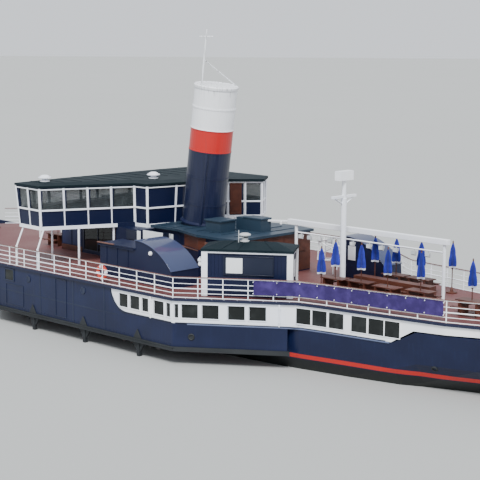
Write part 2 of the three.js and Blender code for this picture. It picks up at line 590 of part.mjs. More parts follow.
function stairHood(fore, inner, outer, doorway) {
  const { radius, centre, skin, length, sweep, steps } = HOOD;
  const profile = (within, floor) => {
    const outline = [[fore - within, floor], [fore - within, centre + radius - within]];
    for (let i = 1; i <= steps; i++) {
      const angle = (sweep * Math.PI * i) / 180 / steps;
      const reach = radius - within;
      outline.push([fore - reach * Math.sin(angle), centre + reach * Math.cos(angle)]);
    }
    return [...outline, [fore - length + within, floor]];
  };
  const room = slab(profile(skin, DECK - 1), inner + skin, outer - skin);
  return cut(slab(profile(0, DECK + GAP), inner, outer), room, doorway);
}
const portHood = () => stairHood(0, 5.0, 7.0, block(-1.3, -0.4, 4.5, 5.3, DECK - 1, 5.45));
const starboardHood = () => mirrored(stairHood(-6.9, 2.6, 4.1, block(-7.3, -6.5, 2.9, 3.8, DECK - 1, 5.5)));

// Locker ahead of the port hood.
const deckLocker = () => union(
  block(GAP, 3.0, 5.35, 7.0, DECK + GAP, 5.44),
  block(GAP, 3.05, 5.28, 7.07, 5.42, 5.5),
);

const longSeat = () => block(-14.6, -9.6, -0.75, -0.15, DECK + GAP, 4.35);

// Tables with benches, each round a parasol's pole.
const TABLES = [
  [-9.4, 1.15], [-11.0, 0.95], [-12.9, 1.15], [-14.75, 0.8], [-18.0, 1.0],
  [-11.0, -2.05], [-12.65, -2.05], [13.4, 1.8],
];

function tableSet(x, y) {
  const board = (dy, z, width) => block(-0.75, 0.75, dy - width / 2, dy + width / 2, z - 0.05, z);
  const legs = [-0.5, 0.5].map((dx) => union(
    block(dx - 0.04, dx + 0.04, -0.75, 0.75, 0.36, 0.42),
    block(dx - 0.03, dx + 0.03, -0.42, 0.42, 0, 0.72),
  ));
  const pole = rod([0, 0, 0.72], [0, 0, 2.7], 0.025, 6);
  return union(board(0, 0.75, 0.75), board(-0.68, 0.45, 0.25), board(0.68, 0.45, 0.25), ...legs, pole)
    .translate([x, y, DECK + GAP]);
}

// Folded parasol round its pole.
function parasol(x, y) {
  const bore = 0.0265;
  const folds = [[0.2, 1.46], [0.22, 1.66], [0.13, 2.3], [0.05, 2.64]];
  const cloth = [[bore, 1.44], ...folds, [bore, 2.66], [bore, 1.44]];
  return turned(cloth, 0, 0, 12).translate([x, y, DECK + GAP]);
}

// Deck rail on one side: stanchions with an upper and a lower rail.
const STANCHION_PITCH = 1.35;
const RAIL_LEVELS = [0.5, RAIL_HEIGHT];

function deckRail() {
  const line = DECK_EDGE.filter(([x]) => x > -23.2 && x < 24).map(([x, half]) => [x, half - 0.1]);
  const parts = [];
  for (let i = 0; i + 1 < line.length; i++) {
    const [a, b] = [line[i], line[i + 1]];
    const length = Math.hypot(b[0] - a[0], b[1] - a[1]);
    for (const level of RAIL_LEVELS) {
      parts.push(beam([...a, DECK + level], [...b, DECK + level], 0.045));
    }
    const count = Math.max(1, Math.round(length / STANCHION_PITCH));
    for (let n = 0; n < count; n++) {
      const part = n / count;
      const [x, y] = [a[0] + (b[0] - a[0]) * part, a[1] + (b[1] - a[1]) * part];
      parts.push(beam([x, y, DECK + GAP], [x, y, DECK + RAIL_HEIGHT], 0.05));
    }
  }
  return union(...parts);
}

// Helm inside the bridge.
const HELM = { x: 8.76, z: BRIDGE_FLOOR + 0.89 };
const helmPedestal = () => union(
  block(8.9, 9.2, -0.15, 0.15, BRIDGE_FLOOR + GAP, HELM.z + 0.15),
  rod([8.7, 0, HELM.z], [9.0, 0, HELM.z], 0.03, 16),
);
function helmWheel() {
  const { x, z } = HELM;
  const disc = (half, radius, sides) => rod([x - half, 0, z], [x + half, 0, z], radius, sides);
  const rim = cut(disc(0.02, 0.42, 16), disc(0.1, 0.36, 16));
  const spokes = [0, 60, 120].map((turn) =>
    block(-0.012, 0.012, -0.38, 0.38, -0.02, 0.02).rotate([turn, 0, 0]).translate([x, 0, z]));
  return cut(union(rim, disc(0.03, 0.1, 12), ...spokes), disc(0.2, 0.0316, 12));
}

// Blank banner hung outside the port rail.
function banner() {
  const path = [[-18.1, 0.044], [-15.2, 0.044], [-11.6, 0.044], [-10.0, 0.038], [-8.1, 0.038]];
  const outside = path.map(([x, inset]) => [x, tableAt(DECK_EDGE, x) - inset]);
  const inside = outside.toReversed().map(([x, y]) => [x, y - 0.02]);
  return plate([...outside, ...inside].toReversed(), DECK + 0.32, DECK + RAIL_HEIGHT - 0.05);
}

const paint = (color, roughness, metalness = 0) =>
  new THREE.MeshStandardMaterial({ color, roughness, metalness });

const NAVY = paint(0x232f52, 0.45);
const WHITE = paint(0xe6e9ee, 0.4);
const ROOF_GREEN = paint(0x2f4b50, 0.5);
const ROOF_BLUE = paint(0x2a4458, 0.5);
const DECK_RED = paint(0x9a544c, 0.8);
const GUARD_GREY = paint(0x33363a, 0.7);
const STEEL = paint(0x5a5c5e, 0.5, 0.7);
const GLASS = paint(0x1a2226, 0.1);
const WOOD = paint(0x7a3f26, 0.5);
const CANOPY = paint(0x1e3ab4, 0.8);
const BANNER = paint(0x46308a, 0.8);

const ship = new THREE.Group();

function add(name, body, material) {
  const { vertProperties, triVerts } = body.getMesh();
  const geometry = new THREE.BufferGeometry();
  geometry.setAttribute("position", new THREE.BufferAttribute(vertProperties, 3));
  geometry.setIndex(new THREE.BufferAttribute(triVerts, 1));
  geometry.scale(MODEL_MM, MODEL_MM, MODEL_MM);
  geometry.computeVertexNormals();
  const mesh = new THREE.Mesh(geometry, material);
  mesh.name = name;
  ship.add(mesh);
}

function addPair(name, body, material) {
  add(`${name}_port`, body, material);
  add(`${name}_starboard`, mirrored(body), material);
}

add("hull", hull(), NAVY);
add("engine", engine(), STEEL);
addPair("sponson", sponson(), NAVY);
addPair("guard", guard(), GUARD_GREY);
add("saloon_aft", saloonAft(), WHITE);
add("saloon_fore", saloonFore(), WHITE);
add("saloon_glass_aft", glassAft(), GLASS);
add("saloon_glass_fore", glassFore(), GLASS);
add("promenade_deck", promenadeDeck(), DECK_RED);
addPair("paddle_wheel", paddleWheel(), STEEL);
add("paddle_shaft", paddleShaft(), STEEL);
add("rudder", rudder(), NAVY);
add("bridge_floor", bridgeFloor(), WHITE);
add("bridge_walls", bridgeWalls(), NAVY);
add("bridge_glass", bridgeGlass(), GLASS);
add("bridge_roof", bridgeRoof(), ROOF_GREEN);
add("lobby_walls", lobbyWalls(), NAVY);
add("lobby_roof", lobbyRoof(), ROOF_GREEN);
add("fore_house", foreHouse(), NAVY);
add("fore_house_door", doorLeaf(houseDoor, HOUSE.narrow), WOOD);
add("casing", casing(), NAVY);
addPair("casing_door", doorLeaf(casingDoor, CASING_SIDE), WOOD);
add("casing_roof", casingRoof(), ROOF_BLUE);
add("funnel", funnel(), NAVY);
add("kiosk_walls", kioskWalls(), NAVY);
add("kiosk_roof", kioskRoof(), ROOF_GREEN);
add("kiosk_door", kioskLeaf(), NAVY);
add("mast", mast(), WHITE);
add("banner", banner(), BANNER);
add("pergola_aft", pergola(-14.8, -8.1, -4.6, -1.1), WHITE);
add("pergola_fore", pergola(12.2, 14.5, 16.8, 0.6), WHITE);
add("hood_port", portHood(), NAVY);
add("hood_starboard", starboardHood(), NAVY);
add("deck_locker", deckLocker(), NAVY);
add("long_seat", longSeat(), WOOD);
add("helm_pedestal", helmPedestal(), WOOD);
add("helm_wheel", helmWheel(), WOOD);
addPair("deck_rail", deckRail(), WHITE);
TABLES.forEach(([x, y], i) => {
  add(`table_${i + 1}`, tableSet(x, y), WOOD);
  add(`parasol_${i + 1}`, parasol(x, y), CANOPY);
});

export default ship;
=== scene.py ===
"""Looks of a paddle steamer fitted out as a floating bar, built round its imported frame.

Lengths called ship metres are those of the real ship. The model, and every mesh here, is half
that size.
The frame has its origin amidships at the waterline, +X to the bow, +Y to port and +Z up.
"""
import json
import logging
import math
from dataclasses import dataclass, field
from enum import Enum
from typing import Any, Callable, Sequence

import bmesh
import bpy
from mathutils import Matrix, Vector


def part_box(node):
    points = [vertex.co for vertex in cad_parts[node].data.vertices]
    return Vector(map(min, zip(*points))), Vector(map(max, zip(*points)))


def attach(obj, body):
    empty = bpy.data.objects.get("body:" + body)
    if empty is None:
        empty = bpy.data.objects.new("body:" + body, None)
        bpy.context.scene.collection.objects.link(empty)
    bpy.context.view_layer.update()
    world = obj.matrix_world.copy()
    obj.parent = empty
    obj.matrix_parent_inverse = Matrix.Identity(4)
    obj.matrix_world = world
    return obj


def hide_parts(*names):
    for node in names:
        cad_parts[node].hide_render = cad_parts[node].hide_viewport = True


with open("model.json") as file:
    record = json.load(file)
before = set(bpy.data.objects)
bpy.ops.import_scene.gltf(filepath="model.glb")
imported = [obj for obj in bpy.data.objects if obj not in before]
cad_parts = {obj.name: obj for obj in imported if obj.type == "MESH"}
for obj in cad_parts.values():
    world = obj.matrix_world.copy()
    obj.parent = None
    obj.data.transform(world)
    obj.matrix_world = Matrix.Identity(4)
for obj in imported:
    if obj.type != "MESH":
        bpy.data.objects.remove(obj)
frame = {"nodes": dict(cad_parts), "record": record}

LOG = logging.getLogger("steamer")

Point = tuple[float, float, float]
Colour = tuple[float, float, float]

# Metres of the model for one metre of the ship.
MODEL = 0.5

# Corners sharper than the first stay sharp in the shading, sharper than the second get a soft edge.
SHARP_CORNER = math.radians(38.0)
SOFT_CORNER = math.radians(40.0)

# Levels of the ship in ship metres, as the solids have them.
MAIN_DECK = 2.25
DECK_UNDER = 3.44
DECK = 3.6
RAIL_HEIGHT = 1.07
FUNNEL_FOOT = (1.86, 6.0)
FUNNEL_TOP = (0.76, 14.25)
FUNNEL_RADIUS = 1.25

# Paint of the topsides, the casing and the funnel.
NAVY = (0.0035, 0.0075, 0.034)

# Edge of the promenade deck from aft to forward: distance ahead of amidships, half breadth.
DECK_EDGE = (
    (-23.5, 0.45), (-23.1, 1.15), (-22.3, 1.8), (-21.2, 2.38), (-19.8, 2.95), (-18.2, 3.52),
    (-15.2, 4.02), (-11.6, 4.53), (-10.0, 4.84), (-4.6, 8.6), (10.9, 8.6), (16.3, 4.84),
    (18.6, 4.45), (21.0, 3.75), (22.8, 2.8), (23.8, 1.7), (24.2, 0.6),
)


class Side(Enum):
    """The two sides of the ship, with the sign of Y on each."""

    PORT = 1
    STARBOARD = -1

    @property
    def word(self) -> str:
        """Name of the side as nodes and pieces carry it."""
        return self.name.lower()

    def wall(self, ends: Sequence[tuple[float, float]]) -> tuple[tuple[float, float], ...]:
        """Plan ends of a port wall, set for this side so that outward stays to the right."""
        placed = tuple((x, y * self.value) for x, y in ends)
        return placed if self is Side.PORT else placed[::-1]


class Bead(Enum):
    """Small pieces that stand in a row, with the name of the tree that sets them."""

    BOLT = "bolts"
    BOARD = "boards"


def at(x: float, y: float, z: float) -> Vector:
    """Point of the model for a point given in ship metres."""
    return Vector((x, y, z)) * MODEL


def table_at(rows: Sequence[Sequence[float]], x: float) -> float:
    """Value of a table at x, between its rows.

    Args:
        rows: Pairs of x and value, with x rising.
        x: Place to read.

    Returns:
        The value, held at the ends.
    """
    if x <= rows[0][0]:
        return rows[0][1]
    for low, high in zip(rows, rows[1:]):
        if x <= high[0]:
            part = (x - low[0]) / (high[0] - low[0])
            return low[1] + part * (high[1] - low[1])
    return rows[-1][1]


def deck_half(x: float) -> float:
    """Half breadth of the promenade deck at x, in ship metres."""
    return table_at(DECK_EDGE, x)


def edge_path(start: float, end: float, inset: float, z: float, side: int = 1) -> list[Point]:
    """Points along the edge of the promenade deck.

    Args:
        start: Distance ahead of amidships where the path starts.
        end: Distance ahead of amidships where it ends.
        inset: Distance inside the edge.
        z: Height of the path.
        side: One to port, minus one to starboard.

    Returns:
        The points, from aft to forward.
    """
    knots = [x for x, _ in DECK_EDGE if start < x < end]
    return [(x, (deck_half(x) - inset) * side, z) for x in (start, *knots, end)]


def round_points(count: int) -> list[float]:
    """Angles of points spread evenly round a circle."""
    return [2 * math.pi * k / count for k in range(count)]


def inset_outline(points: Sequence[tuple[float, float]],
                  distance: float) -> list[tuple[float, float]]:
    """Plan outline with each side moved inward.

    Args:
        points: Corners of the outline, anticlockwise.
        distance: How far each side moves.

    Returns:
        The moved corners.
    """
    moved = []
    for i, (x, y) in enumerate(points):
        before = (Vector((x, y)) - Vector(points[i - 1])).normalized()
        after = (Vector(points[(i + 1) % len(points)]) - Vector((x, y))).normalized()
        mitre = 1 + before.dot(after)
        moved.append((x - (before.y + after.y) / mitre * distance,
                      y + (before.x + after.x) / mitre * distance))
    return moved


class Shade:
    """A socket's value that takes part in Python arithmetic and adds Math nodes as it goes."""

    def __init__(self, graph: "Graph", socket: Any) -> None:
        """Wraps an output socket of a graph."""
        self.graph = graph
        self.socket = socket

    def _math(self, operation: str, *values: Any) -> "Shade":
        """Adds a Math node over the values."""
        inputs = {index: value for index, value in enumerate(values)}
        return self.graph.node("ShaderNodeMath", {"operation": operation}, inputs).out(0)

    def __add__(self, other: Any) -> "Shade":
        """Sum."""
        return self._math("ADD", self, other)

    __radd__ = __add__

    def __sub__(self, other: Any) -> "Shade":
        """Difference."""
        return self._math("SUBTRACT", self, other)

    def __rsub__(self, other: Any) -> "Shade":
        """Difference from a number."""
        return self._math("SUBTRACT", other, self)

    def __mul__(self, other: Any) -> "Shade":
        """Product."""
        return self._math("MULTIPLY", self, other)

    __rmul__ = __mul__

    def __truediv__(self, other: Any) -> "Shade":
        """Quotient."""
        return self._math("DIVIDE", self, other)

    def __gt__(self, other: Any) -> "Shade":
        """One where this value is the greater."""
        return self._math("GREATER_THAN", self, other)

    def __abs__(self) -> "Shade":
        """Size without sign."""
        return self._math("ABSOLUTE", self)

    def clamp(self) -> "Shade":
        """Value held between zero and one."""
        return self.graph.node("ShaderNodeClamp", {}, {0: self}).out(0)

    def fract(self) -> "Shade":
        """Part after the decimal point."""
        return self._math("FRACT", self)

    def sine(self) -> "Shade":
        """Sine of the value."""
        return self._math("SINE", self)

    def step(self, low: float, high: float) -> "Shade":
        """Smooth rise from zero at low to one at high."""
        settings = {"interpolation_type": "SMOOTHSTEP"}
        return self.graph.node("ShaderNodeMapRange", settings, {0: self, 1: low, 2: high}).out(0)


class Made:
    """A node that has been added, with its outputs by name or number."""

    def __init__(self, graph: "Graph", node: bpy.types.Node) -> None:
        """Keeps the node and its graph."""
        self.graph = graph
        self.node = node

    def out(self, key: Any) -> Shade:
        """Output socket by name or number."""
        return Shade(self.graph, self.node.outputs[key])


class Graph:
    """A node tree under construction, for a material or for geometry."""

    def __init__(self, tree: bpy.types.NodeTree) -> None:
        """Keeps the tree."""
        self.tree = tree

    def node(self, kind: str, settings: dict[str, Any], inputs: dict[Any, Any]) -> Made:
        """Adds a node.

        Args:
            kind: Node type.
            settings: Properties, set first.
            inputs: Values or links by socket name or number.

        Returns:
            The node with its outputs.
        """
        made = self.tree.nodes.new(kind)
        for key, value in settings.items():
            setattr(made, key, value)
        for key, value in inputs.items():
            socket = made.inputs[key]
            if isinstance(value, Shade):
                self.tree.links.new(value.socket, socket)
            elif isinstance(value, tuple) and len(value) == 3 and socket.type == "RGBA":
                socket.default_value = (*value, 1.0)
            else:
                socket.default_value = value
        return Made(self, made)


class Recipe(Graph):
    """One material under construction."""

    def __init__(self, name: str) -> None:
        """Starts an empty node material.

        Args:
            name: Name of the material.
        """
        self.material = bpy.data.materials.new(name)
        self.material.use_nodes = True
        super().__init__(self.material.node_tree)
        self.tree.nodes.clear()
        self._place: Made | None = None

    def place(self) -> Shade:
        """Object coordinates in metres of the model."""
        if self._place is None:
            self._place = self.node("ShaderNodeTexCoord", {}, {})
        return self._place.out("Object")

    def axes(self) -> tuple[Shade, Shade, Shade]:
        """Object coordinates split into X, Y and Z."""
        split = self.node("ShaderNodeSeparateXYZ", {}, {0: self.place()})
        return split.out(0), split.out(1), split.out(2)

    def normal_up(self) -> Shade:
        """How far a face looks up, from minus one to one."""
        normal = self.node("ShaderNodeTexCoord", {}, {}).out("Normal")
        return self.node("ShaderNodeSeparateXYZ", {}, {0: normal}).out(2)

    def scaled(self, x: float, y: float, z: float) -> Shade:
        """Object coordinates stretched along each axis."""
        return self.node("ShaderNodeMapping", {}, {0: self.place(), 3: (x, y, z)}).out(0)

    def noise(self, scale: float, detail: float = 3.0, vector: Shade | None = None) -> Shade:
        """Noise between zero and one at a scale per metre."""
        inputs = {"Vector": vector or self.place(), "Scale": scale, "Detail": detail}
        return self.node("ShaderNodeTexNoise", {}, inputs).out(0)

    def mix(self, factor: Any, low: Any, high: Any) -> Shade:
        """Colour between two colours."""
        inputs = {0: factor, 6: low, 7: high}
        return self.node("ShaderNodeMix", {"data_type": "RGBA"}, inputs).out(2)

    def bump(self, height: Shade, strength: float, distance: float) -> Shade:
        """Normal bent by a height."""
        inputs = {"Strength": strength, "Distance": distance, "Height": height}
        return self.node("ShaderNodeBump", {}, inputs).out(0)

    def finish(self, inputs: dict[str, Any]) -> bpy.types.Material:
        """Closes the material with a Principled shader.

        Args:
            inputs: Values or links by the shader's socket names.

        Returns:
            The material.
        """
        shader = self.node("ShaderNodeBsdfPrincipled", {}, inputs)
        self.node("ShaderNodeOutputMaterial", {}, {0: shader.out(0)})
        self.material.diffuse_color = (0.5, 0.5, 0.5, 1.0)
        return self.material


class Repeat(Graph):
    """A geometry tree that sets copies along a path, with named inputs."""

    def __init__(self, name: str) -> None:
        """Starts a tree with a geometry socket on each side and a finish.

        Args:
            name: Name of the tree.
        """
        super().__init__(bpy.data.node_groups.new(name, "GeometryNodeTree"))
        face = self.tree.interface
        face.new_socket("Geometry", in_out="INPUT", socket_type="NodeSocketGeometry")
        face.new_socket("Geometry", in_out="OUTPUT", socket_type="NodeSocketGeometry")
        self.sizes = {
            "Finish": face.new_socket("Finish", in_out="INPUT", socket_type="NodeSocketMaterial"),
        }

    def size(self, name: str, kind: str = "NodeSocketFloat") -> Shade:
        """Adds a named input and returns its socket inside the tree."""
        self.sizes[name] = self.tree.interface.new_socket(name, in_out="INPUT", socket_type=kind)
        return self.given(name)

    def given(self, name: str) -> Shade:
        """Socket of an input inside the tree."""
        return self.node("NodeGroupInput", {}, {}).out(name)

    def close(self, points: Shade, copy: Shade, rotation: Shade | None = None) -> None:
        """Ends the tree: copies on points, made real, in the finish given.

        Args:
            points: Where the copies go.
            copy: Geometry of one copy.
            rotation: Turn of each copy, none when left out.
        """
        inputs = {"Points": points, "Instance": copy}
        if rotation is not None:
            inputs["Rotation"] = rotation
        set_out = self.node("GeometryNodeInstanceOnPoints", {}, inputs).out(0)
        real = self.node("GeometryNodeRealizeInstances", {}, {"Geometry": set_out}).out(0)
        dressed = self.node("GeometryNodeSetMaterial", {},
                            {"Geometry": real, "Material": self.given("Finish")}).out(0)
        self.node("NodeGroupOutput", {}, {0: dressed})

    def along(self, path: Sequence[Point], values: dict[str, Any],
              closed: bool = False) -> bpy.types.Mesh:
        """Runs the tree over a path and returns a plain mesh.

        Args:
            path: Points in ship metres.
            values: Sizes and finish by the names of the tree's inputs.
            closed: Whether the path returns to its first point.

        Returns:
            The mesh, in metres of the model.
        """
        line = bpy.data.meshes.new("path")
        edges = [(i, i + 1) for i in range(len(path) - 1)]
        if closed:
            edges.append((len(path) - 1, 0))
        line.from_pydata([at(*point) for point in path], edges, [])
        holder = bpy.data.objects.new("path", line)
        bpy.context.scene.collection.objects.link(holder)
        modifier = holder.modifiers.new("repeat", "NODES")
        modifier.node_group = self.tree
        for name, value in values.items():
            modifier[self.sizes[name].identifier] = value
        graph = bpy.context.evaluated_depsgraph_get()
        made = bpy.data.meshes.new_from_object(holder.evaluated_get(graph))
        holder.modifiers.remove(modifier)
        bpy.data.objects.remove(holder)
        return made


def rail_tree() -> Repeat:
    """Tree that lays round rails one above another along a path.

    Returns:
        The tree.
    """
    tree = Repeat("rails")
    radius = tree.size("Radius")
    levels = tree.size("Levels", "NodeSocketInt")
    first = tree.size("First")
    rise = tree.size("Rise")
    curve = tree.node("GeometryNodeMeshToCurve", {}, {0: tree.given("Geometry")}).out(0)
    ring = tree.node("GeometryNodeCurvePrimitiveCircle", {},
                     {"Resolution": 8, "Radius": radius}).out(0)
    tube = tree.node("GeometryNodeCurveToMesh", {},
                     {"Curve": curve, "Profile Curve": ring, "Fill Caps": True}).out(0)
    start = tree.node("ShaderNodeCombineXYZ", {}, {2: first}).out(0)
    step = tree.node("ShaderNodeCombineXYZ", {}, {2: rise}).out(0)
    line = tree.node("GeometryNodeMeshLine", {},
                     {"Count": levels, "Start Location": start, "Offset": step}).out(0)
    tree.close(line, tube)
    return tree


def bead_tree(bead: Bead) -> Repeat:
    """Tree that sets small pieces at equal steps along a path, turned with it.

    Args:
        bead: Domed heads such as bolts, or square boards.

    Returns:
        The tree.
    """
    tree = Repeat(bead.value)
    pitch = tree.size("Pitch")
    long = tree.size("Long")
    deep = tree.size("Deep")
    high = tree.size("High")
    curve = tree.node("GeometryNodeMeshToCurve", {}, {0: tree.given("Geometry")}).out(0)
    spread = tree.node("GeometryNodeCurveToPoints", {"mode": "LENGTH"},
                       {"Curve": curve, "Length": pitch})
    size = tree.node("ShaderNodeCombineXYZ", {}, {0: long, 1: deep, 2: high}).out(0)
    if bead is Bead.BOLT:
        unit = tree.node("GeometryNodeMeshUVSphere", {},
                         {"Segments": 8, "Rings": 5, "Radius": 0.5}).out(0)
    else:
        unit = tree.node("GeometryNodeMeshCube", {}, {}).out(0)
    copy = tree.node("GeometryNodeTransform", {}, {"Geometry": unit, "Scale": size}).out(0)
    turn = tree.node("FunctionNodeAlignRotationToVector", {"axis": "X", "pivot_axis": "Z"},
                     {"Vector": spread.out("Tangent")}).out(0)
    tree.close(spread.out("Points"), copy, turn)
    return tree


@dataclass
class Form:
    """Vertices and faces of one piece under construction, in ship metres.

    Where place is given, it turns the points from a sub-assembly's own axes into the ship's.
    """

    place: Callable[[Vector], Vector] | None = None
    points: list[Vector] = field(default_factory=list)
    faces: list[tuple[int, ...]] = field(default_factory=list)

    def skin(self, rings: Sequence[Sequence[Sequence[float]]], closed: bool = True,
             ends: bool = True) -> "Form":
        """Joins rings of points into a skin.

        Args:
            rings: Rings of equal count.
            closed: Whether each ring returns to its first point.
            ends: Whether the first and last ring are filled.

        Returns:
            This form.
        """
        base, count = len(self.points), len(rings[0])
        for ring in rings:
            self.points += [Vector(point) for point in ring]
        for level in range(len(rings) - 1):
            for i in range(count if closed else count - 1):
                a = base + level * count + i
                b = base + level * count + (i + 1) % count
                self.faces.append((a, b, b + count, a + count))
        if ends:
            last = base + (len(rings) - 1) * count
            self.faces.append(tuple(range(base, base + count)))
            self.faces.append(tuple(range(last, last + count)))
        return self

    def block(self, low: Sequence[float], high: Sequence[float]) -> "Form":
        """Adds a box between two corners."""
        (x0, y0, z0), (x1, y1, z1) = low, high
        return self.skin([[(x0, y0, z), (x1, y0, z), (x1, y1, z), (x0, y1, z)]
                          for z in (z0, z1)])

    def bar(self, start: Sequence[float], end: Sequence[float], width: float, depth: float,
            face: Sequence[float] = (0.0, 0.0, 1.0)) -> "Form":
        """Adds a square bar between two points.

        Args:
            start: One end of its axis.
            end: The other end.
            width: Size across the face direction.
            depth: Size along the face direction.
            face: Direction that the broad side looks.

        Returns:
            This form.
        """
        a, b = Vector(start), Vector(end)
        run = (b - a).normalized()
        out = Vector(face)
        out = (out - run * out.dot(run)).normalized() * (depth / 2)
        side = run.cross(out).normalized() * (width / 2)
        return self.skin([[p - side - out, p + side - out, p + side + out, p - side + out]
                          for p in (a, b)])

    def tube(self, path: Sequence[Sequence[float]], radius: float, sides: int = 8) -> "Form":
        """Adds a round tube along points.

        Args:
            path: Points of its axis.
            radius: Radius of the tube.
            sides: Facets round it.

        Returns:
            This form.
        """
        line = [Vector(point) for point in path]
        rings = []
        side = Vector((0.0, 0.0, 1.0))
        for i, point in enumerate(line):
            run = (line[min(i + 1, len(line) - 1)] - line[max(i - 1, 0)]).normalized()
            if abs(side.dot(run)) > 0.95:
                side = Vector((1.0, 0.0, 0.0))
            u = (side - run * side.dot(run)).normalized()
            v = run.cross(u)
            rings.append([point + (u * math.cos(t) + v * math.sin(t)) * radius
                          for t in round_points(sides)])
            side = u
        return self.skin(rings)

    def lathe(self, centre: Sequence[float], profile: Sequence[tuple[float, float]],
              sides: int = 16, axis: Sequence[float] = (0.0, 0.0, 1.0)) -> "Form":
        """Adds a turned shape.

        Args:
            centre: Point that heights are counted from.
            profile: Pairs of radius and height along the axis.
            sides: Facets round it.
            axis: Direction of its axis.

        Returns:
            This form.
        """
        run = Vector(axis).normalized()
        side = Vector((1.0, 0.0, 0.0)) if abs(run.x) < 0.9 else Vector((0.0, 1.0, 0.0))
        u = (side - run * side.dot(run)).normalized()
        v = run.cross(u)
        return self.skin([[Vector(centre) + run * height
                           + (u * math.cos(t) + v * math.sin(t)) * max(radius, 0.001)
                           for t in round_points(sides)] for radius, height in profile])

    def panel(self, a: Sequence[float], b: Sequence[float], low: float, high: float,
              near: float, far: float) -> "Form":
        """Adds an upright slab along a wall.

        Args:
            a: Plan point where it starts; outward is to the right of the way from a to b.
            b: Plan point where it ends.
            low: Height of its lower edge.
            high: Height of its upper edge.
            near: Distance outward of its back.
            far: Distance outward of its face.

        Returns:
            This form.
        """
        run = Vector((b[0] - a[0], b[1] - a[1], 0.0)).normalized()
        out = Vector((run.y, -run.x, 0.0))
        start, end = Vector((a[0], a[1], 0.0)), Vector((b[0], b[1], 0.0))
        base = (start + out * near, start + out * far, end + out * far, end + out * near)
        return self.skin([[point + Vector((0.0, 0.0, z)) for point in base]
                          for z in (low, high)])

    def surround(self, a: Sequence[float], b: Sequence[float], low: float, high: float,
                 width: float, near: float, far: float) -> "Form":
        """Adds a frame of four slabs round an opening in a wall.

        Args:
            a: Plan point where it starts; outward is to the right of the way from a to b.
            b: Plan point where it ends.
            low: Height of its lower edge.
            high: Height of its upper edge.
            width: Width of the slabs.
            near: Distance outward of their back.
            far: Distance outward of their face.

        Returns:
            This form.
        """
        start, end = Vector(a[:2]), Vector(b[:2])
        step = (end - start).normalized() * width
        self.panel(start, end, low, low + width, near, far)
        self.panel(start, end, high - width, high, near, far)
        self.panel(start, start + step, low + width, high - width, near, far)
        return self.panel(end - step, end, low + width, high - width, near, far)

    def mirrored(self) -> "Form":
        """Adds the same shapes on the other side of the ship, and returns this form."""
        base = len(self.points)
        self.points += [Vector((p.x, -p.y, p.z)) for p in self.points]
        self.faces += [tuple(base + i for i in reversed(face)) for face in self.faces]
        return self

    def mesh(self, name: str) -> bpy.types.Mesh:
        """Writes the mesh in metres of the model.

        Args:
            name: Name of the mesh.

        Returns:
            The mesh.
        """
        placed = [self.place(point) if self.place else point for point in self.points]
        mesh = bpy.data.meshes.new(name)
        mesh.from_pydata([point * MODEL for point in placed], [], self.faces)
        return mesh


@dataclass
class Yard:
    """Turns forms and repeated meshes into finished pieces that ride on the ship."""

    finishes: "Finishes"
    rails: Repeat = field(default_factory=rail_tree)
    bolts: Repeat = field(default_factory=lambda: bead_tree(Bead.BOLT))
    boards: Repeat = field(default_factory=lambda: bead_tree(Bead.BOARD))

    def piece(self, name: str, shape: Form | bpy.types.Mesh, finish: str,
              slot: str = "white_paint", bevel: float = 0.0, body: str = "ship",
              outward: bool = True) -> bpy.types.Object:
        """Finishes one piece.

        Args:
            name: Name of the piece.
            shape: Its form, or a mesh that a tree made.
            finish: Name of its finish.
            slot: The record's material slot; not used.
            bevel: Width of its softened edges in ship metres, none when zero.
            body: Body that it rides on.
            outward: Whether its faces are turned outward, as on closed shapes.

        Returns:
            The piece.
        """
        mesh = shape.mesh(name) if isinstance(shape, Form) else shape
        mesh.name = name
        self._smooth(mesh, outward)
        mesh.materials.clear()
        mesh.materials.append(self.finishes[finish])
        piece = bpy.data.objects.new(name, mesh)
        bpy.context.scene.collection.objects.link(piece)
        if bevel:
            soft = piece.modifiers.new("soft edges", "BEVEL")
            soft.width = bevel * MODEL
            soft.segments = 2
            soft.limit_method = "ANGLE"
            soft.angle_limit = SOFT_CORNER
        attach(piece, body)
        LOG.info("%s: %d faces", name, len(mesh.polygons))
        return piece

    @staticmethod
    def _smooth(mesh: bpy.types.Mesh, outward: bool) -> None:
        """Turns faces outward and keeps only sharp corners sharp.

        Args:
            mesh: Mesh to change.
            outward: Whether its faces are turned outward.
        """
        work = bmesh.new()
        work.from_mesh(mesh)
        if outward:
            bmesh.ops.recalc_face_normals(work, faces=work.faces)
        for face in work.faces:
            face.smooth = True
        for edge in work.edges:
            paired = len(edge.link_faces) == 2
            edge.smooth = paired and edge.calc_face_angle(0.0) < SHARP_CORNER
        work.to_mesh(mesh)
        work.free()

    def repeat(self, name: str, tree: Repeat, path: Sequence[Point], finish: str,
               slot: str = "white_paint", closed: bool = False,
               **sizes: float) -> bpy.types.Object:
        """Finishes a piece that a tree repeats along a path.

        Args:
            name: Name of the piece.
            tree: Geometry tree that makes it.
            path: Points in ship metres.
            finish: Name of its finish.
            slot: The record's material slot.
            closed: Whether the path returns to its first point.
            **sizes: The tree's inputs: lengths in ship metres, counts as whole numbers.

        Returns:
            The piece.
        """
        values: dict[str, Any] = {key: value if isinstance(value, int) else value * MODEL
                                  for key, value in sizes.items()}
        values["Finish"] = self.finishes[finish]
        return self.piece(name, tree.along(path, values, closed), finish, slot)


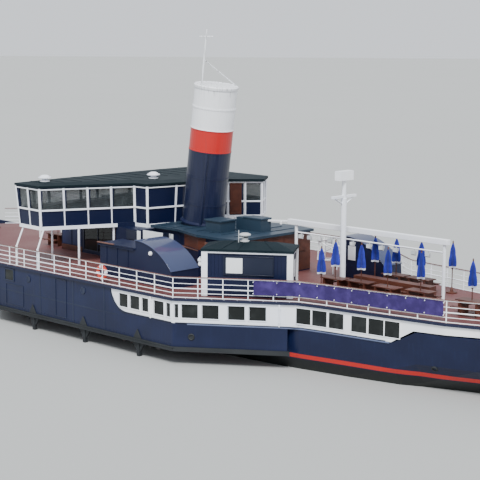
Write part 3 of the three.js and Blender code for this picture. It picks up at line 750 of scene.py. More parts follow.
@dataclass(frozen=True)
class PaintFinish:
    """Brushed or rolled marine paint on plate, with run marks and dulled patches."""

    name: str
    colour: Colour
    roughness: float = 0.38
    dirt: float = 0.25
    coat: float = 0.15
    shine: float = 0.35

    def build(self) -> bpy.types.Material:
        """Makes the material.

        Returns:
            The finished material.
        """
        recipe = Recipe(self.name)
        cloud = recipe.noise(1.3, 4.0)
        streak = recipe.noise(2.0, 5.0, recipe.scaled(9.0, 9.0, 0.7))
        fine = recipe.noise(90.0, 2.0)
        dulled = (cloud.step(0.42, 0.75) * 0.6 + streak.step(0.5, 0.8) * 0.4) * self.dirt
        grime = tuple(channel * 0.5 + 0.005 for channel in self.colour)
        light = tuple(min(1.0, channel * 1.12 + 0.006) for channel in self.colour)
        base = recipe.mix(recipe.noise(0.5, 2.0).step(0.35, 0.7), self.colour, light)
        return recipe.finish({
            "Base Color": recipe.mix(dulled.clamp(), base, grime),
            "Roughness": (dulled * 0.5 + self.roughness + fine * 0.06).clamp(),
            "Coat Weight": self.coat,
            "Specular IOR Level": self.shine,
            "Normal": recipe.bump(cloud * 0.6 + fine * 0.1, 0.12, 0.01),
        })


@dataclass(frozen=True)
class GlassFinish:
    """Window glass, tinted and dusty, seen from outside."""

    name: str
    colour: Colour
    see_through: float

    def build(self) -> bpy.types.Material:
        """Makes the material.

        Returns:
            The finished material.
        """
        recipe = Recipe(self.name)
        dust = recipe.noise(3.0, 4.0).step(0.4, 0.8)
        pale = tuple(min(1.0, channel * 1.8 + 0.008) for channel in self.colour)
        return recipe.finish({
            "Base Color": recipe.mix(dust, self.colour, pale),
            "Roughness": dust * 0.1 + 0.04,
            "Specular IOR Level": 0.3,
            "Alpha": 1.0 - self.see_through,
        })


@dataclass(frozen=True)
class WoodFinish:
    """Varnished timber with grain along one axis."""

    name: str
    dark: Colour
    light: Colour
    grain: Point = (1.5, 26.0, 26.0)

    def build(self) -> bpy.types.Material:
        """Makes the material.

        Returns:
            The finished material.
        """
        recipe = Recipe(self.name)
        grain = recipe.noise(3.0, 6.0, recipe.scaled(*self.grain))
        board = recipe.noise(1.2, 1.0, recipe.scaled(0.6, 4.0, 4.0))
        tone = (grain * 0.7 + board * 0.5).step(0.35, 0.85)
        return recipe.finish({
            "Base Color": recipe.mix(tone, self.dark, self.light),
            "Roughness": grain * 0.2 + 0.42,
            "Coat Weight": 0.08,
            "Specular IOR Level": 0.35,
            "Normal": recipe.bump(grain, 0.2, 0.004),
        })


@dataclass(frozen=True)
class ClothFinish:
    """Woven cloth, sun-faded in patches."""

    name: str
    colour: Colour
    weave: float = 320.0

    def build(self) -> bpy.types.Material:
        """Makes the material.

        Returns:
            The finished material.
        """
        recipe = Recipe(self.name)
        x, y, z = recipe.axes()
        warp = ((x + y) * self.weave).sine() * (z * self.weave).sine()
        fade = recipe.noise(4.0, 3.0).step(0.35, 0.8)
        pale = tuple(min(1.0, channel * 1.25 + 0.02) for channel in self.colour)
        deep = tuple(channel * 0.7 for channel in self.colour)
        base = recipe.mix(fade, deep, pale)
        return recipe.finish({
            "Base Color": base,
            "Roughness": 0.85,
            "Sheen Weight": 0.06,
            "Normal": recipe.bump(warp, 0.25, 0.002),
        })


@dataclass(frozen=True)
class SteelFinish:
    """Working steel, oiled and stained."""

    name: str
    colour: Colour

    def build(self) -> bpy.types.Material:
        """Makes the material.

        Returns:
            The finished material.
        """
        recipe = Recipe(self.name)
        stain = recipe.noise(6.0, 5.0).step(0.4, 0.7)
        rust = tuple(a * b for a, b in zip(self.colour, (0.6, 0.35, 0.22)))
        return recipe.finish({
            "Base Color": recipe.mix(stain, self.colour, rust),
            "Metallic": 1.0 - stain * 0.6,
            "Roughness": stain * 0.35 + 0.35,
            "Normal": recipe.bump(stain, 0.2, 0.004),
        })


@dataclass(frozen=True)
class HullFinish:
    """Hull plating: antifouling, red boot stripe and navy topsides, with seams of the plates."""

    name: str = "hull_plating"
    navy: Colour = NAVY
    stripe: Colour = (0.62, 0.02, 0.015)
    stripe_low: float = 0.64
    stripe_high: float = 0.88
    bottom: Colour = (0.006, 0.008, 0.01)

    def build(self) -> bpy.types.Material:
        """Makes the material.

        Returns:
            The finished material.
        """
        recipe = Recipe(self.name)
        x, _, z = recipe.axes()
        fine = recipe.noise(80.0, 2.0)
        cloud = recipe.noise(0.9, 4.0)
        streak = recipe.noise(2.4, 5.0, recipe.scaled(8.0, 8.0, 0.6))
        level = z / MODEL
        faded = (cloud.step(0.35, 0.75) * 0.5 + streak.step(0.5, 0.85) * 0.5).clamp()
        topsides = recipe.mix(faded, self.navy, tuple(c * 1.8 + 0.003 for c in self.navy))
        slime = recipe.mix((streak.step(0.35, 0.7) * (1.0 - level.step(0.05, 0.5))).clamp(),
                           self.bottom, (0.014, 0.016, 0.012))
        lower = recipe.mix(level > self.stripe_low - 0.06, slime, self.navy)
        stripe = recipe.mix(streak.step(0.3, 0.9) * 0.3, self.stripe, (0.3, 0.04, 0.03))
        painted = recipe.mix(level > self.stripe_low, lower, stripe)
        full = recipe.mix(level > self.stripe_high, painted, topsides)
        seam_x = (abs((x / (MODEL * 3.6)).fract() - 0.5)).step(0.494, 0.499)
        seam_z = (abs((z / (MODEL * 1.15)).fract() - 0.5)).step(0.485, 0.498)
        height = cloud * 0.9 + (seam_x + seam_z).clamp() * 0.35 + fine * 0.05
        return recipe.finish({
            "Base Color": full,
            "Roughness": (streak * 0.2 + 0.26 + fine * 0.05).clamp(),
            "Coat Weight": 0.06,
            "Specular IOR Level": 0.35,
            "Normal": recipe.bump(height, 0.25, 0.02),
        })


@dataclass(frozen=True)
class FunnelFinish:
    """Funnel painted navy, red and white in bands square to its rake, sooted at the rim."""

    name: str = "funnel_bands"
    navy: Colour = NAVY
    red: Colour = (0.55, 0.009, 0.007)
    white: Colour = (0.95, 0.97, 1.0)
    red_low: float = 4.47
    red_high: float = 5.75

    def build(self) -> bpy.types.Material:
        """Makes the material.

        Returns:
            The finished material.
        """
        recipe = Recipe(self.name)
        run = FUNNEL_TOP[0] - FUNNEL_FOOT[0]
        rise = FUNNEL_TOP[1] - FUNNEL_FOOT[1]
        length = math.hypot(run, rise)
        x, _, z = recipe.axes()
        along = ((x / MODEL - FUNNEL_FOOT[0]) * (run / length)
                 + (z / MODEL - FUNNEL_FOOT[1]) * (rise / length))
        streak = recipe.noise(2.0, 5.0, recipe.scaled(9.0, 9.0, 0.5)).step(0.45, 0.85)
        fine = recipe.noise(70.0, 2.0)
        soot = (along.step(length - 0.9, length + 0.2) * streak * 0.8).clamp()
        navy = recipe.mix(streak * 0.5, self.navy, tuple(c * 1.6 + 0.003 for c in self.navy))
        red = recipe.mix(streak * 0.35, self.red, (0.35, 0.04, 0.03))
        white = recipe.mix(streak * 0.2, self.white, (0.52, 0.52, 0.5))
        lower = recipe.mix(along > self.red_low, navy, red)
        banded = recipe.mix(along > self.red_high, lower, white)
        seam = abs((along / 1.38).fract() - 0.5).step(0.49, 0.497)
        return recipe.finish({
            "Base Color": recipe.mix(soot, banded, (0.03, 0.03, 0.03)),
            "Roughness": (streak * 0.2 + 0.34 + fine * 0.05).clamp(),
            "Coat Weight": 0.15,
            "Normal": recipe.bump(seam * 0.5 + fine * 0.08, 0.3, 0.01),
        })


@dataclass(frozen=True)
class DeckFinish:
    """Promenade deck: worn red-brown paint on top, navy fascia round the edge."""

    name: str = "promenade_paint"
    top: Colour = (0.12, 0.032, 0.03)
    worn: Colour = (0.16, 0.075, 0.068)
    edge: Colour = NAVY

    def build(self) -> bpy.types.Material:
        """Makes the material.

        Returns:
            The finished material.
        """
        recipe = Recipe(self.name)
        _, y, _ = recipe.axes()
        traffic = recipe.noise(0.7, 5.0).step(0.4, 0.72)
        scuff = recipe.noise(14.0, 4.0).step(0.5, 0.8)
        plank = abs((y / (MODEL * 0.3)).fract() - 0.5).step(0.465, 0.49)
        top = recipe.mix((traffic * 0.6 + scuff * 0.3).clamp(), self.top, self.worn)
        top = recipe.mix(plank * 0.55, top, (0.1, 0.05, 0.045))
        upward = recipe.normal_up() > 0.5
        return recipe.finish({
            "Base Color": recipe.mix(upward, self.edge, top),
            "Roughness": (scuff * 0.15 + 0.55).clamp(),
            "Normal": recipe.bump(1.0 - plank + scuff * 0.1, 0.3, 0.004),
        })


@dataclass(frozen=True)
class FloorFinish:
    """Matt pale studio floor."""

    name: str = "studio_floor"
    colour: Colour = (0.42, 0.43, 0.42)

    def build(self) -> bpy.types.Material:
        """Makes the material.

        Returns:
            The finished material.
        """
        recipe = Recipe(self.name)
        cloud = recipe.noise(0.05, 2.0)
        darker = tuple(channel * 0.96 for channel in self.colour)
        return recipe.finish({
            "Base Color": recipe.mix(cloud, self.colour, darker),
            "Roughness": 0.9,
        })


@dataclass
class Finishes:
    """All the finishes of the ship, made once."""

    made: dict[str, bpy.types.Material] = field(default_factory=dict)

    def build(self) -> None:
        """Makes every finish."""
        recipes = [
            HullFinish(),
            FunnelFinish(),
            DeckFinish(),
            PaintFinish("navy_paint", NAVY, 0.38, 0.25, 0.03, 0.25),
            PaintFinish("white_paint", (0.88, 0.92, 1.0), 0.35, 0.08),
            PaintFinish("guard_paint", (0.017, 0.02, 0.023), 0.6, 0.4, 0.0),
            PaintFinish("roof_green_paint", (0.004, 0.012, 0.017), 0.6, 0.2, 0.0, 0.12),
            PaintFinish("roof_blue_paint", (0.014, 0.032, 0.055), 0.4, 0.25, 0.05),
            GlassFinish("dark_glass", (0.008, 0.01, 0.01), 0.0),
            GlassFinish("bridge_glass", (0.05, 0.06, 0.065), 0.55),
            WoodFinish("varnished_wood", (0.045, 0.013, 0.009), (0.12, 0.036, 0.02)),
            WoodFinish("cap_wood", (0.08, 0.03, 0.024), (0.2, 0.1, 0.075)),
            PaintFinish("navy_trim", (0.008, 0.014, 0.04), 0.34, 0.3, 0.05),
            # Lighter blue than the navy of the hoods' ends: a painted sheen on their curved roofs,
            # over a real glossy coat.
            PaintFinish("hood_skin_painted_sheen", (0.02, 0.032, 0.09), 0.34, 0.3, 0.5),
            PaintFinish("dark_board", (0.006, 0.01, 0.028), 0.3, 0.25, 0.05),
            PaintFinish("moulding_blue", (0.12, 0.15, 0.26), 0.4, 0.3, 0.05),
            PaintFinish("house_blue", (0.012, 0.022, 0.085), 0.4, 0.3, 0.05),
            PaintFinish("zinc_paint", (0.5, 0.52, 0.53), 0.4, 0.35, 0.05),
            PaintFinish("blank_board", (0.78, 0.82, 0.84), 0.3, 0.1),
            PaintFinish("lamp_white", (0.88, 0.89, 0.9), 0.2, 0.05),
            PaintFinish("buoy_red", (0.6, 0.06, 0.035), 0.5),
            GlassFinish("lamp_glass", (0.55, 0.6, 0.62), 0.0),
            ClothFinish("parasol_cloth", (0.01, 0.022, 0.36)),
            ClothFinish("banner_cloth", (0.03, 0.01, 0.13), 500.0),
            ClothFinish("fringe_cloth", (0.72, 0.75, 0.85), 500.0),
            SteelFinish("machine_steel", (0.36, 0.36, 0.37)),
            FloorFinish(),
        ]
        for recipe in recipes:
            self.made[recipe.name] = recipe.build()

    def __getitem__(self, name: str) -> bpy.types.Material:
        """Finish by name."""
        return self.made[name]


@dataclass
class Studio:
    """Camera of the photograph, pale floor at the waterline and soft light."""

    finishes: Finishes
    eye: Point = (-54.56, 55.24, 17.15)
    heading: float = 46.0
    pitch: float = 8.74
    roll: float = 0.34
    lens: float = 100.5
    sensor: float = 36.0
    far_clip: float = 500.0
    floor_reach: float = 400.0
    sky_colour: Colour = (0.86, 0.9, 0.96)
    sky_strength: float = 1.15
    sun_strength: float = 4.3
    sun_width: float = 20.0
    sun_turn: Point = (38.0, 8.0, -150.0)

    def build(self) -> None:
        """Adds the camera, the floor and the lights."""
        self._camera()
        self._floor()
        self._lights()

    def _camera(self) -> None:
        """Sets the camera where the photographer stood, at model scale."""
        data = bpy.data.cameras.new("camera")
        data.lens = self.lens
        data.sensor_width = self.sensor
        data.clip_end = self.far_clip
        camera = bpy.data.objects.new("camera", data)
        bpy.context.scene.collection.objects.link(camera)
        heading = math.radians(self.heading)
        pitch = math.radians(self.pitch)
        ahead = Vector((math.cos(heading) * math.cos(pitch), -math.sin(heading) * math.cos(pitch),
                        -math.sin(pitch)))
        turn = ahead.to_track_quat("-Z", "Y").to_matrix().to_4x4()
        roll = Matrix.Rotation(math.radians(self.roll), 4, "Z")
        camera.matrix_world = Matrix.Translation(at(*self.eye)) @ turn @ roll
        bpy.context.scene.camera = camera

    def _floor(self) -> None:
        """Lays the floor at the waterline."""
        reach = self.floor_reach
        corners = [(-reach, -reach, 0.0), (reach, -reach, 0.0), (reach, reach, 0.0),
                   (-reach, reach, 0.0)]
        mesh = bpy.data.meshes.new("studio_floor")
        mesh.from_pydata(corners, [], [(0, 1, 2, 3)])
        mesh.materials.append(self.finishes["studio_floor"])
        floor = bpy.data.objects.new("studio_floor", mesh)
        bpy.context.scene.collection.objects.link(floor)

    def _lights(self) -> None:
        """Adds a pale sky and one broad soft sun."""
        world = bpy.data.worlds.new("sky")
        world.use_nodes = True
        background = world.node_tree.nodes["Background"]
        background.inputs[0].default_value = (*self.sky_colour, 1.0)
        background.inputs[1].default_value = self.sky_strength
        bpy.context.scene.world = world
        sun = bpy.data.lights.new("sun", "SUN")
        sun.energy = self.sun_strength
        sun.angle = math.radians(self.sun_width)
        lamp = bpy.data.objects.new("sun", sun)
        lamp.rotation_euler = tuple(math.radians(angle) for angle in self.sun_turn)
        bpy.context.scene.collection.objects.link(lamp)


@dataclass
class PackedNodes:
    """The nodes of the frame, each given its finish."""

    finishes: Finishes
    special: dict[str, str] = field(default_factory=lambda: {
        "hull": "hull_plating",
        "sponson_port": "hull_plating",
        "sponson_starboard": "hull_plating",
        "funnel": "funnel_bands",
        "promenade_deck": "promenade_paint",
        "bridge_glass": "bridge_glass",
    })

    def build(self) -> None:
        """Dresses every node in the finish of its slot, or in its own."""
        slots = {part["node"]: part["material_slot"] for part in frame["record"]["subparts"]}
        for node, piece in frame["nodes"].items():
            finish = self.special.get(node, slots[node])
            piece.data.materials.clear()
            piece.data.materials.append(self.finishes[finish])


# Corners of the bridge in plan, anticlockwise from the middle of its after side, with the shares of
# the next wall where its uprights stand.
BRIDGE_WALLS = (
    (3.7, 0.0, (0.2,)), (4.2, -2.3, ()), (5.2, -2.4, (0.25, 0.5, 0.75)), (7.57, -7.62, (0.5,)),
    (9.7, -7.5, (1 / 3, 2 / 3)), (9.9, -4.0, (1 / 6, 1 / 3, 0.5, 2 / 3, 5 / 6)),
    (9.9, 4.0, (1 / 3, 2 / 3)), (9.7, 7.5, (0.5,)), (7.57, 7.62, (0.25, 0.5, 0.75)),
    (5.2, 2.4, ()), (4.2, 2.3, (0.8,)),
)
BRIDGE_FLOOR = 5.9
BRIDGE_FLARE = 0.07


@dataclass
class BridgeFrames:
    """White framing of the bridge, the panel over its floor beam, the console and the lining."""

    yard: Yard
    foot: float = BRIDGE_FLOOR + 0.02
    sill: float = 6.9
    head: float = 8.2
    head_rail: float = 8.2 - 0.07
    post: float = 0.15
    mullion: float = 0.1
    proud: float = 0.035
    skirt_wall: Sequence[tuple[float, float]] = ((5.66, 3.42), (5.2, 2.38))
    skirt_low: float = 5.72
    skirt_high: float = 6.0
    lined_wall: Sequence[tuple[float, float]] = ((7.78, 7.2), (5.45, 2.1))

    def build(self) -> None:
        """Adds the pieces."""
        self._framing()
        skirt, lining = Form(), Form()
        for side in Side:
            skirt.panel(*side.wall(self.skirt_wall), self.skirt_low, self.skirt_high, -0.02, 0.07)
            lining.panel(*side.wall(self.lined_wall), self.foot, self.sill, -0.1, -0.04)
        self.yard.piece("bridge_skirt", skirt, "navy_paint", "navy_paint", bevel=0.01)
        desk = Form().block((9.0, -6.9, self.foot), (9.72, 6.9, self.sill))
        desk.block((8.92, -6.95, self.sill), (9.74, 6.95, 6.96))
        desk.block((9.3, -1.2, 6.96), (9.7, 1.2, 7.12))
        self.yard.piece("bridge_console", desk, "varnished_wood", "varnished_wood", bevel=0.02)
        self.yard.piece("bridge_lining", lining, "varnished_wood", "varnished_wood", bevel=0.01)

    def _ring(self, z: float) -> list[Vector]:
        """Corners of the outside of the walls.

        Args:
            z: Height to take them at.

        Returns:
            The corners, in the order of the walls.
        """
        grown = self.proud / 2 + BRIDGE_FLARE * (z - BRIDGE_FLOOR)
        outline = inset_outline([(x, y) for x, y, _ in BRIDGE_WALLS], -grown)
        return [Vector((x, y, z)) for x, y in outline]

    def _framing(self) -> None:
        """Adds the corner posts, the mullions and the rails round the bridge."""
        low, middle, high = (self._ring(z) for z in (self.foot, self.sill, self.head))
        line = self._ring(self.head_rail)
        posts, bars = Form(), Form()
        for i, (_, _, shares) in enumerate(BRIDGE_WALLS):
            after = (i + 1) % len(BRIDGE_WALLS)
            run = (low[after] - low[i]).normalized()
            out = Vector((run.y, -run.x, 0.0))
            back = (low[i] - low[i - 1]).normalized()
            corner = (out + Vector((back.y, -back.x, 0.0))).normalized()
            if i:
                posts.bar(low[i], high[i], self.post, self.proud * 2, corner)
            for share in shares:
                ends = [ring[i].lerp(ring[after], share) for ring in (low, middle, high)]
                posts.bar(ends[1], ends[2], self.mullion * 1.25, self.proud * 1.8, out)
                bars.bar(ends[0], ends[1], self.mullion * 0.75, self.proud * 1.4, out)
            bars.bar(middle[i], middle[after], self.mullion, self.proud * 2.2, out)
            bars.bar(line[i], line[after], 0.07, self.proud * 1.6, out)
            bars.bar(low[i], low[after], 0.05, self.proud * 2, out)
        self.yard.piece("bridge_posts", posts, "white_paint", bevel=0.012)
        self.yard.piece("bridge_rails", bars, "white_paint", bevel=0.01)


@dataclass
class LobbyFrames:
    """White framing, panes and door of the starboard lobby abaft the bridge wing."""

    yard: Yard
    outline: Sequence[tuple[float, float]] = (
        (5.33, -3.35), (4.6, -3.6), (3.98, -4.27), (2.53, -5.83), (3.6, -7.3), (7.12, -7.3),
    )
    floor: float = 5.9
    head: float = 8.0
    sill: float = 6.78
    post: float = 0.12
    door_shares: Sequence[float] = (0.06, 0.4)

    def build(self) -> None:
        """Adds the frames, the panes and the door."""
        floor, head, sill = self.floor, self.head, self.sill
        frames, panes = Form(), Form()
        for a, b in zip(self.outline, self.outline[1:]):
            for z, high in ((floor - 0.16, 0.18), (sill - 0.05, 0.1), (head - 0.08, 0.1)):
                frames.panel(a, b, z, z + high, -0.01, 0.05)
            half = (Vector(a) + Vector(b)) / 2
            for place in (Vector(a), half):
                frames.bar((*place, floor), (*place, head), self.post, self.post, (0.0, 1.0, 0.0))
            panes.panel(a, b, sill, head, -0.05, -0.03)
        self.yard.piece("lobby_frames", frames, "white_paint", bevel=0.01)
        self.yard.piece("lobby_panes", panes, "bridge_glass", "dark_glass")
        (x0, y0), (x1, y1) = self.outline[2:4]
        door = [(x0 + (x1 - x0) * share, y0 + (y1 - y0) * share) for share in self.door_shares]
        leaf = Form().panel(*door, floor + 0.08, head - 0.1, 0.03, 0.07)
        leaf.surround(*door, floor + 0.06, head - 0.06, 0.09, 0.05, 0.1)
        self.yard.piece("lobby_door", leaf, "varnished_wood", "varnished_wood", bevel=0.01)


@dataclass
class DeckRails:
    """Lower rails, toe rail and wooden cap along the promenade deck, and the bolts of its edge."""

    yard: Yard
    after: float = -23.1
    fore: float = 23.8
    inset: float = 0.1
    bolt_inset: float = 0.03
    bolt_pitch: float = 0.675

    def build(self) -> None:
        """Adds the rails on both sides."""
        laid = (
            ("lower_rails", "white_paint", "white_paint", 0.017, 2, 0.26, 0.5),
            ("toe_rail", "white_paint", "white_paint", 0.024, 1, 0.026, 0.1),
            ("rail_cap", "cap_wood", "varnished_wood", 0.033, 1, RAIL_HEIGHT + 0.02, 0.1),
        )
        for side in Side:
            path = edge_path(self.after, self.fore, self.inset, DECK, side.value)
            for name, finish, slot, radius, levels, first, rise in laid:
                self.yard.repeat(f"{name}_{side.word}", self.yard.rails, path, finish, slot,
                                 Radius=radius, Levels=levels, First=first, Rise=rise)
            edge = edge_path(self.after, self.fore, self.bolt_inset, DECK - 0.02, side.value)
            self.yard.repeat(f"deck_bolts_{side.word}", self.yard.bolts, edge, "white_paint",
                             Pitch=self.bolt_pitch, Long=0.06, Deep=0.06, High=0.05)


@dataclass
class Kiosk:
    """White frame, boards, blank signs, lamps, counter, seams and vent of the bar kiosk."""

    yard: Yard
    origin: tuple[float, float] = (-5.35, 7.0)
    turn: float = 214.7
    length: float = 4.6
    depth: float = 2.1
    eave: float = 5.98
    ridge: float = 6.42
    hip: float = 1.05
    post: float = 0.32
    seam_shares: Sequence[float] = (0.2, 0.4, 0.6, 0.8)
    lamp_places: Sequence[tuple[float, float]] = ((-0.22, 5.5), (-0.2, 5.28))
    lamp_profile: Sequence[tuple[float, float]] = (
        (0.03, -0.11), (0.09, -0.06), (0.1, 0.0), (0.08, 0.07), (0.03, 0.1),
    )
    vent_profile: Sequence[tuple[float, float]] = (
        (0.25, 0.0), (0.25, 0.05), (0.17, 0.07), (0.17, 0.3), (0.32, 0.33), (0.32, 0.38),
        (0.2, 0.44), (0.03, 0.45),
    )

    def spot(self, point: Vector) -> Vector:
        """Turns a point from the kiosk's axes into the ship's.

        Args:
            point: Distance along the outboard face, inboard of it, and height.

        Returns:
            Its place in ship metres.
        """
        cosine, sine = math.cos(math.radians(self.turn)), math.sin(math.radians(self.turn))
        return Vector((self.origin[0] + cosine * point.x - sine * point.y,
                       self.origin[1] + sine * point.x + cosine * point.y, point.z))

    def build(self) -> None:
        """Adds the pieces."""
        self._frame()
        self._boards()
        self._signs()
        self._lamps()
        counter = Form(self.spot).block((0.3, self.depth + 0.02, 4.62),
                                        (self.length - 0.3, self.depth + 0.3, 4.68))
        self.yard.piece("kiosk_counter", counter, "varnished_wood", "varnished_wood", bevel=0.015)
        self._roof()

    def _frame(self) -> None:
        """Adds the corner posts and the bars under the eave."""
        long, deep = self.length, self.depth
        low, high = self.eave - 0.09, self.eave + 0.01
        posts = Form(self.spot)
        for x in (0.05, long - 0.05):
            for y in (0.05, deep - 0.05):
                posts.bar((x, y, DECK + 0.01), (x, y, self.eave), self.post, self.post,
                          (0.0, 1.0, 0.0))
        posts.block((-0.05, -0.1, low), (long + 0.05, -0.02, high))
        posts.block((-0.05, deep + 0.02, low), (long + 0.05, deep + 0.1, high))
        posts.block((long + 0.02, -0.1, low), (long + 0.1, deep + 0.1, high))
        posts.block((-0.1, -0.1, low), (-0.02, deep + 0.1, high))
        self.yard.piece("kiosk_frame", posts, "white_paint", bevel=0.012)

    def _boards(self) -> None:
        """Adds upright boards on the outboard and the after wall."""
        long, deep, middle = self.length, self.depth, (DECK + self.eave) / 2
        for name, start, end in (("outboard", (0.3, -0.008), (long - 0.22, -0.008)),
                                 ("after", (long + 0.008, 0.3), (long + 0.008, deep - 0.22))):
            path = [tuple(self.spot(Vector((*place, middle)))) for place in (start, end)]
            self.yard.repeat(f"kiosk_boards_{name}", self.yard.boards, path, "navy_paint",
                             "navy_paint", Pitch=0.19, Long=0.16, Deep=0.025,
                             High=self.eave - DECK - 0.12)

    def _signs(self) -> None:
        """Adds the blank sign in its frame and the two blank boards."""
        sign = Form(self.spot).block((1.1, -0.075, 4.8), (3.65, -0.03, 5.72))
        sign.surround((1.05, 0.0), (3.7, 0.0), 4.75, 5.77, 0.05, 0.03, 0.095)
        self.yard.piece("kiosk_sign", sign, "dark_board", "navy_paint", bevel=0.01)
        square = Form(self.spot).block((1.2, -0.1, 4.86), (2.06, -0.07, 5.66))
        square.block((self.length + 0.03, 0.9, 4.6), (self.length + 0.06, 1.35, 5.5))
        self.yard.piece("kiosk_blank_board", square, "blank_board", bevel=0.006)

    def _lamps(self) -> None:
        """Adds the globe lamps on their brackets."""
        lamps = Form(self.spot)
        for x, z in self.lamp_places:
            lamps.lathe((x, 0.0, z), self.lamp_profile, 14)
            lamps.tube(((x, 0.0, z + 0.08), (x, 0.0, z + 0.14), (-0.02, 0.0, z + 0.14)), 0.02)
        self.yard.piece("kiosk_lamps", lamps, "lamp_white")

    def _roof(self) -> None:
        """Adds the roof's seams and the vent with its pipe."""
        seams = Form(self.spot)
        for share in self.seam_shares:
            x = self.length * share
            top = (self.hip + (self.length - 2 * self.hip) * share, self.depth / 2, self.ridge)
            for y in (-0.13, self.depth + 0.13):
                seams.bar((x, y, self.eave + 0.135), top, 0.03, 0.03)
        self.yard.piece("kiosk_roof_seams", seams, "roof_green_paint", "roof_green_paint")
        vent = Form(self.spot).lathe((2.0, 1.05, 6.38), self.vent_profile, 20)
        vent.tube(((1.72, 0.75, 6.36), (1.72, 0.75, 7.0)), 0.025)
        vent.bar((1.72, 0.75, 6.62), (2.0, 0.9, 6.62), 0.05, 0.05)
        self.yard.piece("kiosk_vent", vent, "zinc_paint", "machine_steel")


@dataclass
class StairHoods:
    """Rounded skins over the two stair hoods, lighter blue as a painted sheen, with their lamp,
    boards, handrails and the locker.
    """

    yard: Yard
    radius: float = 3.65
    centre: float = 2.26
    sweep: float = 52.0
    steps: int = 14
    lamp_profile: Sequence[tuple[float, float]] = (
        (0.12, 0.0), (0.12, 0.05), (0.09, 0.1), (0.03, 0.12),
    )

    def skin(self, fore: float, low: float, high: float) -> Form:
        """Curved plate over one hood.

        Args:
            fore: Where the hood's fore wall stands.
            low: Y of its starboard side.
            high: Y of its port side.

        Returns:
            The plate's form.
        """
        corners = ((0.004, low - 0.05), (0.004, high + 0.05), (0.045, high + 0.05),
                   (0.045, low - 0.05))
        rings = []
        for i in range(self.steps + 1):
            angle = math.radians(self.sweep * i / self.steps)
            lip = 0.03 * (i == 0)
            rings.append([(fore - (self.radius + reach) * math.sin(angle) + lip, y,
                           self.centre + (self.radius + reach) * math.cos(angle))
                          for reach, y in corners])
        return Form().skin(rings)

    def build(self) -> None:
        """Adds the pieces."""
        # The skins take the lighter blue finish, a painted sheen on top of each hood.
        self.yard.piece("hood_skin_port", self.skin(0.0, 5.0, 7.0), "hood_skin_painted_sheen", "navy_paint",
                        bevel=0.012)
        self.yard.piece("hood_skin_starboard", self.skin(-6.9, -4.1, -2.6), "hood_skin_painted_sheen",
                        "navy_paint", bevel=0.012)
        lamp = Form().lathe((-1.25, 7.0, 5.35), self.lamp_profile, 18, (0.0, 1.0, 0.0))
        self.yard.piece("hood_lamp", lamp, "lamp_white")
        board = Form().block((-7.72, -2.6, 4.62), (-7.2, -2.56, 5.42))
        self.yard.piece("hood_blank_board", board, "blank_board", bevel=0.006)
        self._handrails()
        self._doorway()
        self._locker()

    def _handrails(self) -> None:
        """Adds the rails beside the starboard hood's doorway."""
        rail = Form()
        for y in (-2.7, -4.0):
            rail.tube(((-6.88, y, 5.2), (-6.0, y, 5.2), (-5.2, y, 4.75), (-5.2, y, DECK + 0.01)),
                      0.04)
            rail.tube(((-6.88, y, 4.5), (-5.2, y, 4.3)), 0.03)
            rail.tube(((-6.0, y, 5.2), (-6.0, y, DECK + 0.01)), 0.035)
            rail.tube(((-6.88, y, 4.5), (-6.0, y, 5.2)), 0.025)
        self.yard.piece("hood_handrails", rail, "white_paint")

    def _doorway(self) -> None:
        """Adds the frame and the hinges of the port hood's doorway."""
        trim = Form()
        for z in (4.2, 5.1):
            trim.block((-1.36, 4.95, z), (-1.28, 5.0, z + 0.12))
        trim.surround((-1.3, 5.0), (-0.4, 5.0), DECK + 0.02, 5.45, 0.06, -0.01, 0.05)
        self.yard.piece("hood_doorway_trim", trim, "navy_paint", "navy_paint", bevel=0.008)

    def _locker(self) -> None:
        """Adds the locker's wooden ledge, its rim and its battens."""
        ledge = Form().block((1.7, 7.05, 5.5), (3.1, 7.16, 5.56))
        self.yard.piece("locker_ledge", ledge, "cap_wood", "varnished_wood", bevel=0.012)
        rim = Form().surround((3.05, 7.07), (0.05, 7.07), 5.36, 5.52, 0.05, 0.0, 0.03)
        for x in (0.6, 1.5, 2.4):
            rim.block((x, 7.0, 4.3), (x + 0.05, 7.03, 5.36))
        self.yard.piece("locker_battens", rim, "navy_paint", "navy_paint", bevel=0.008)


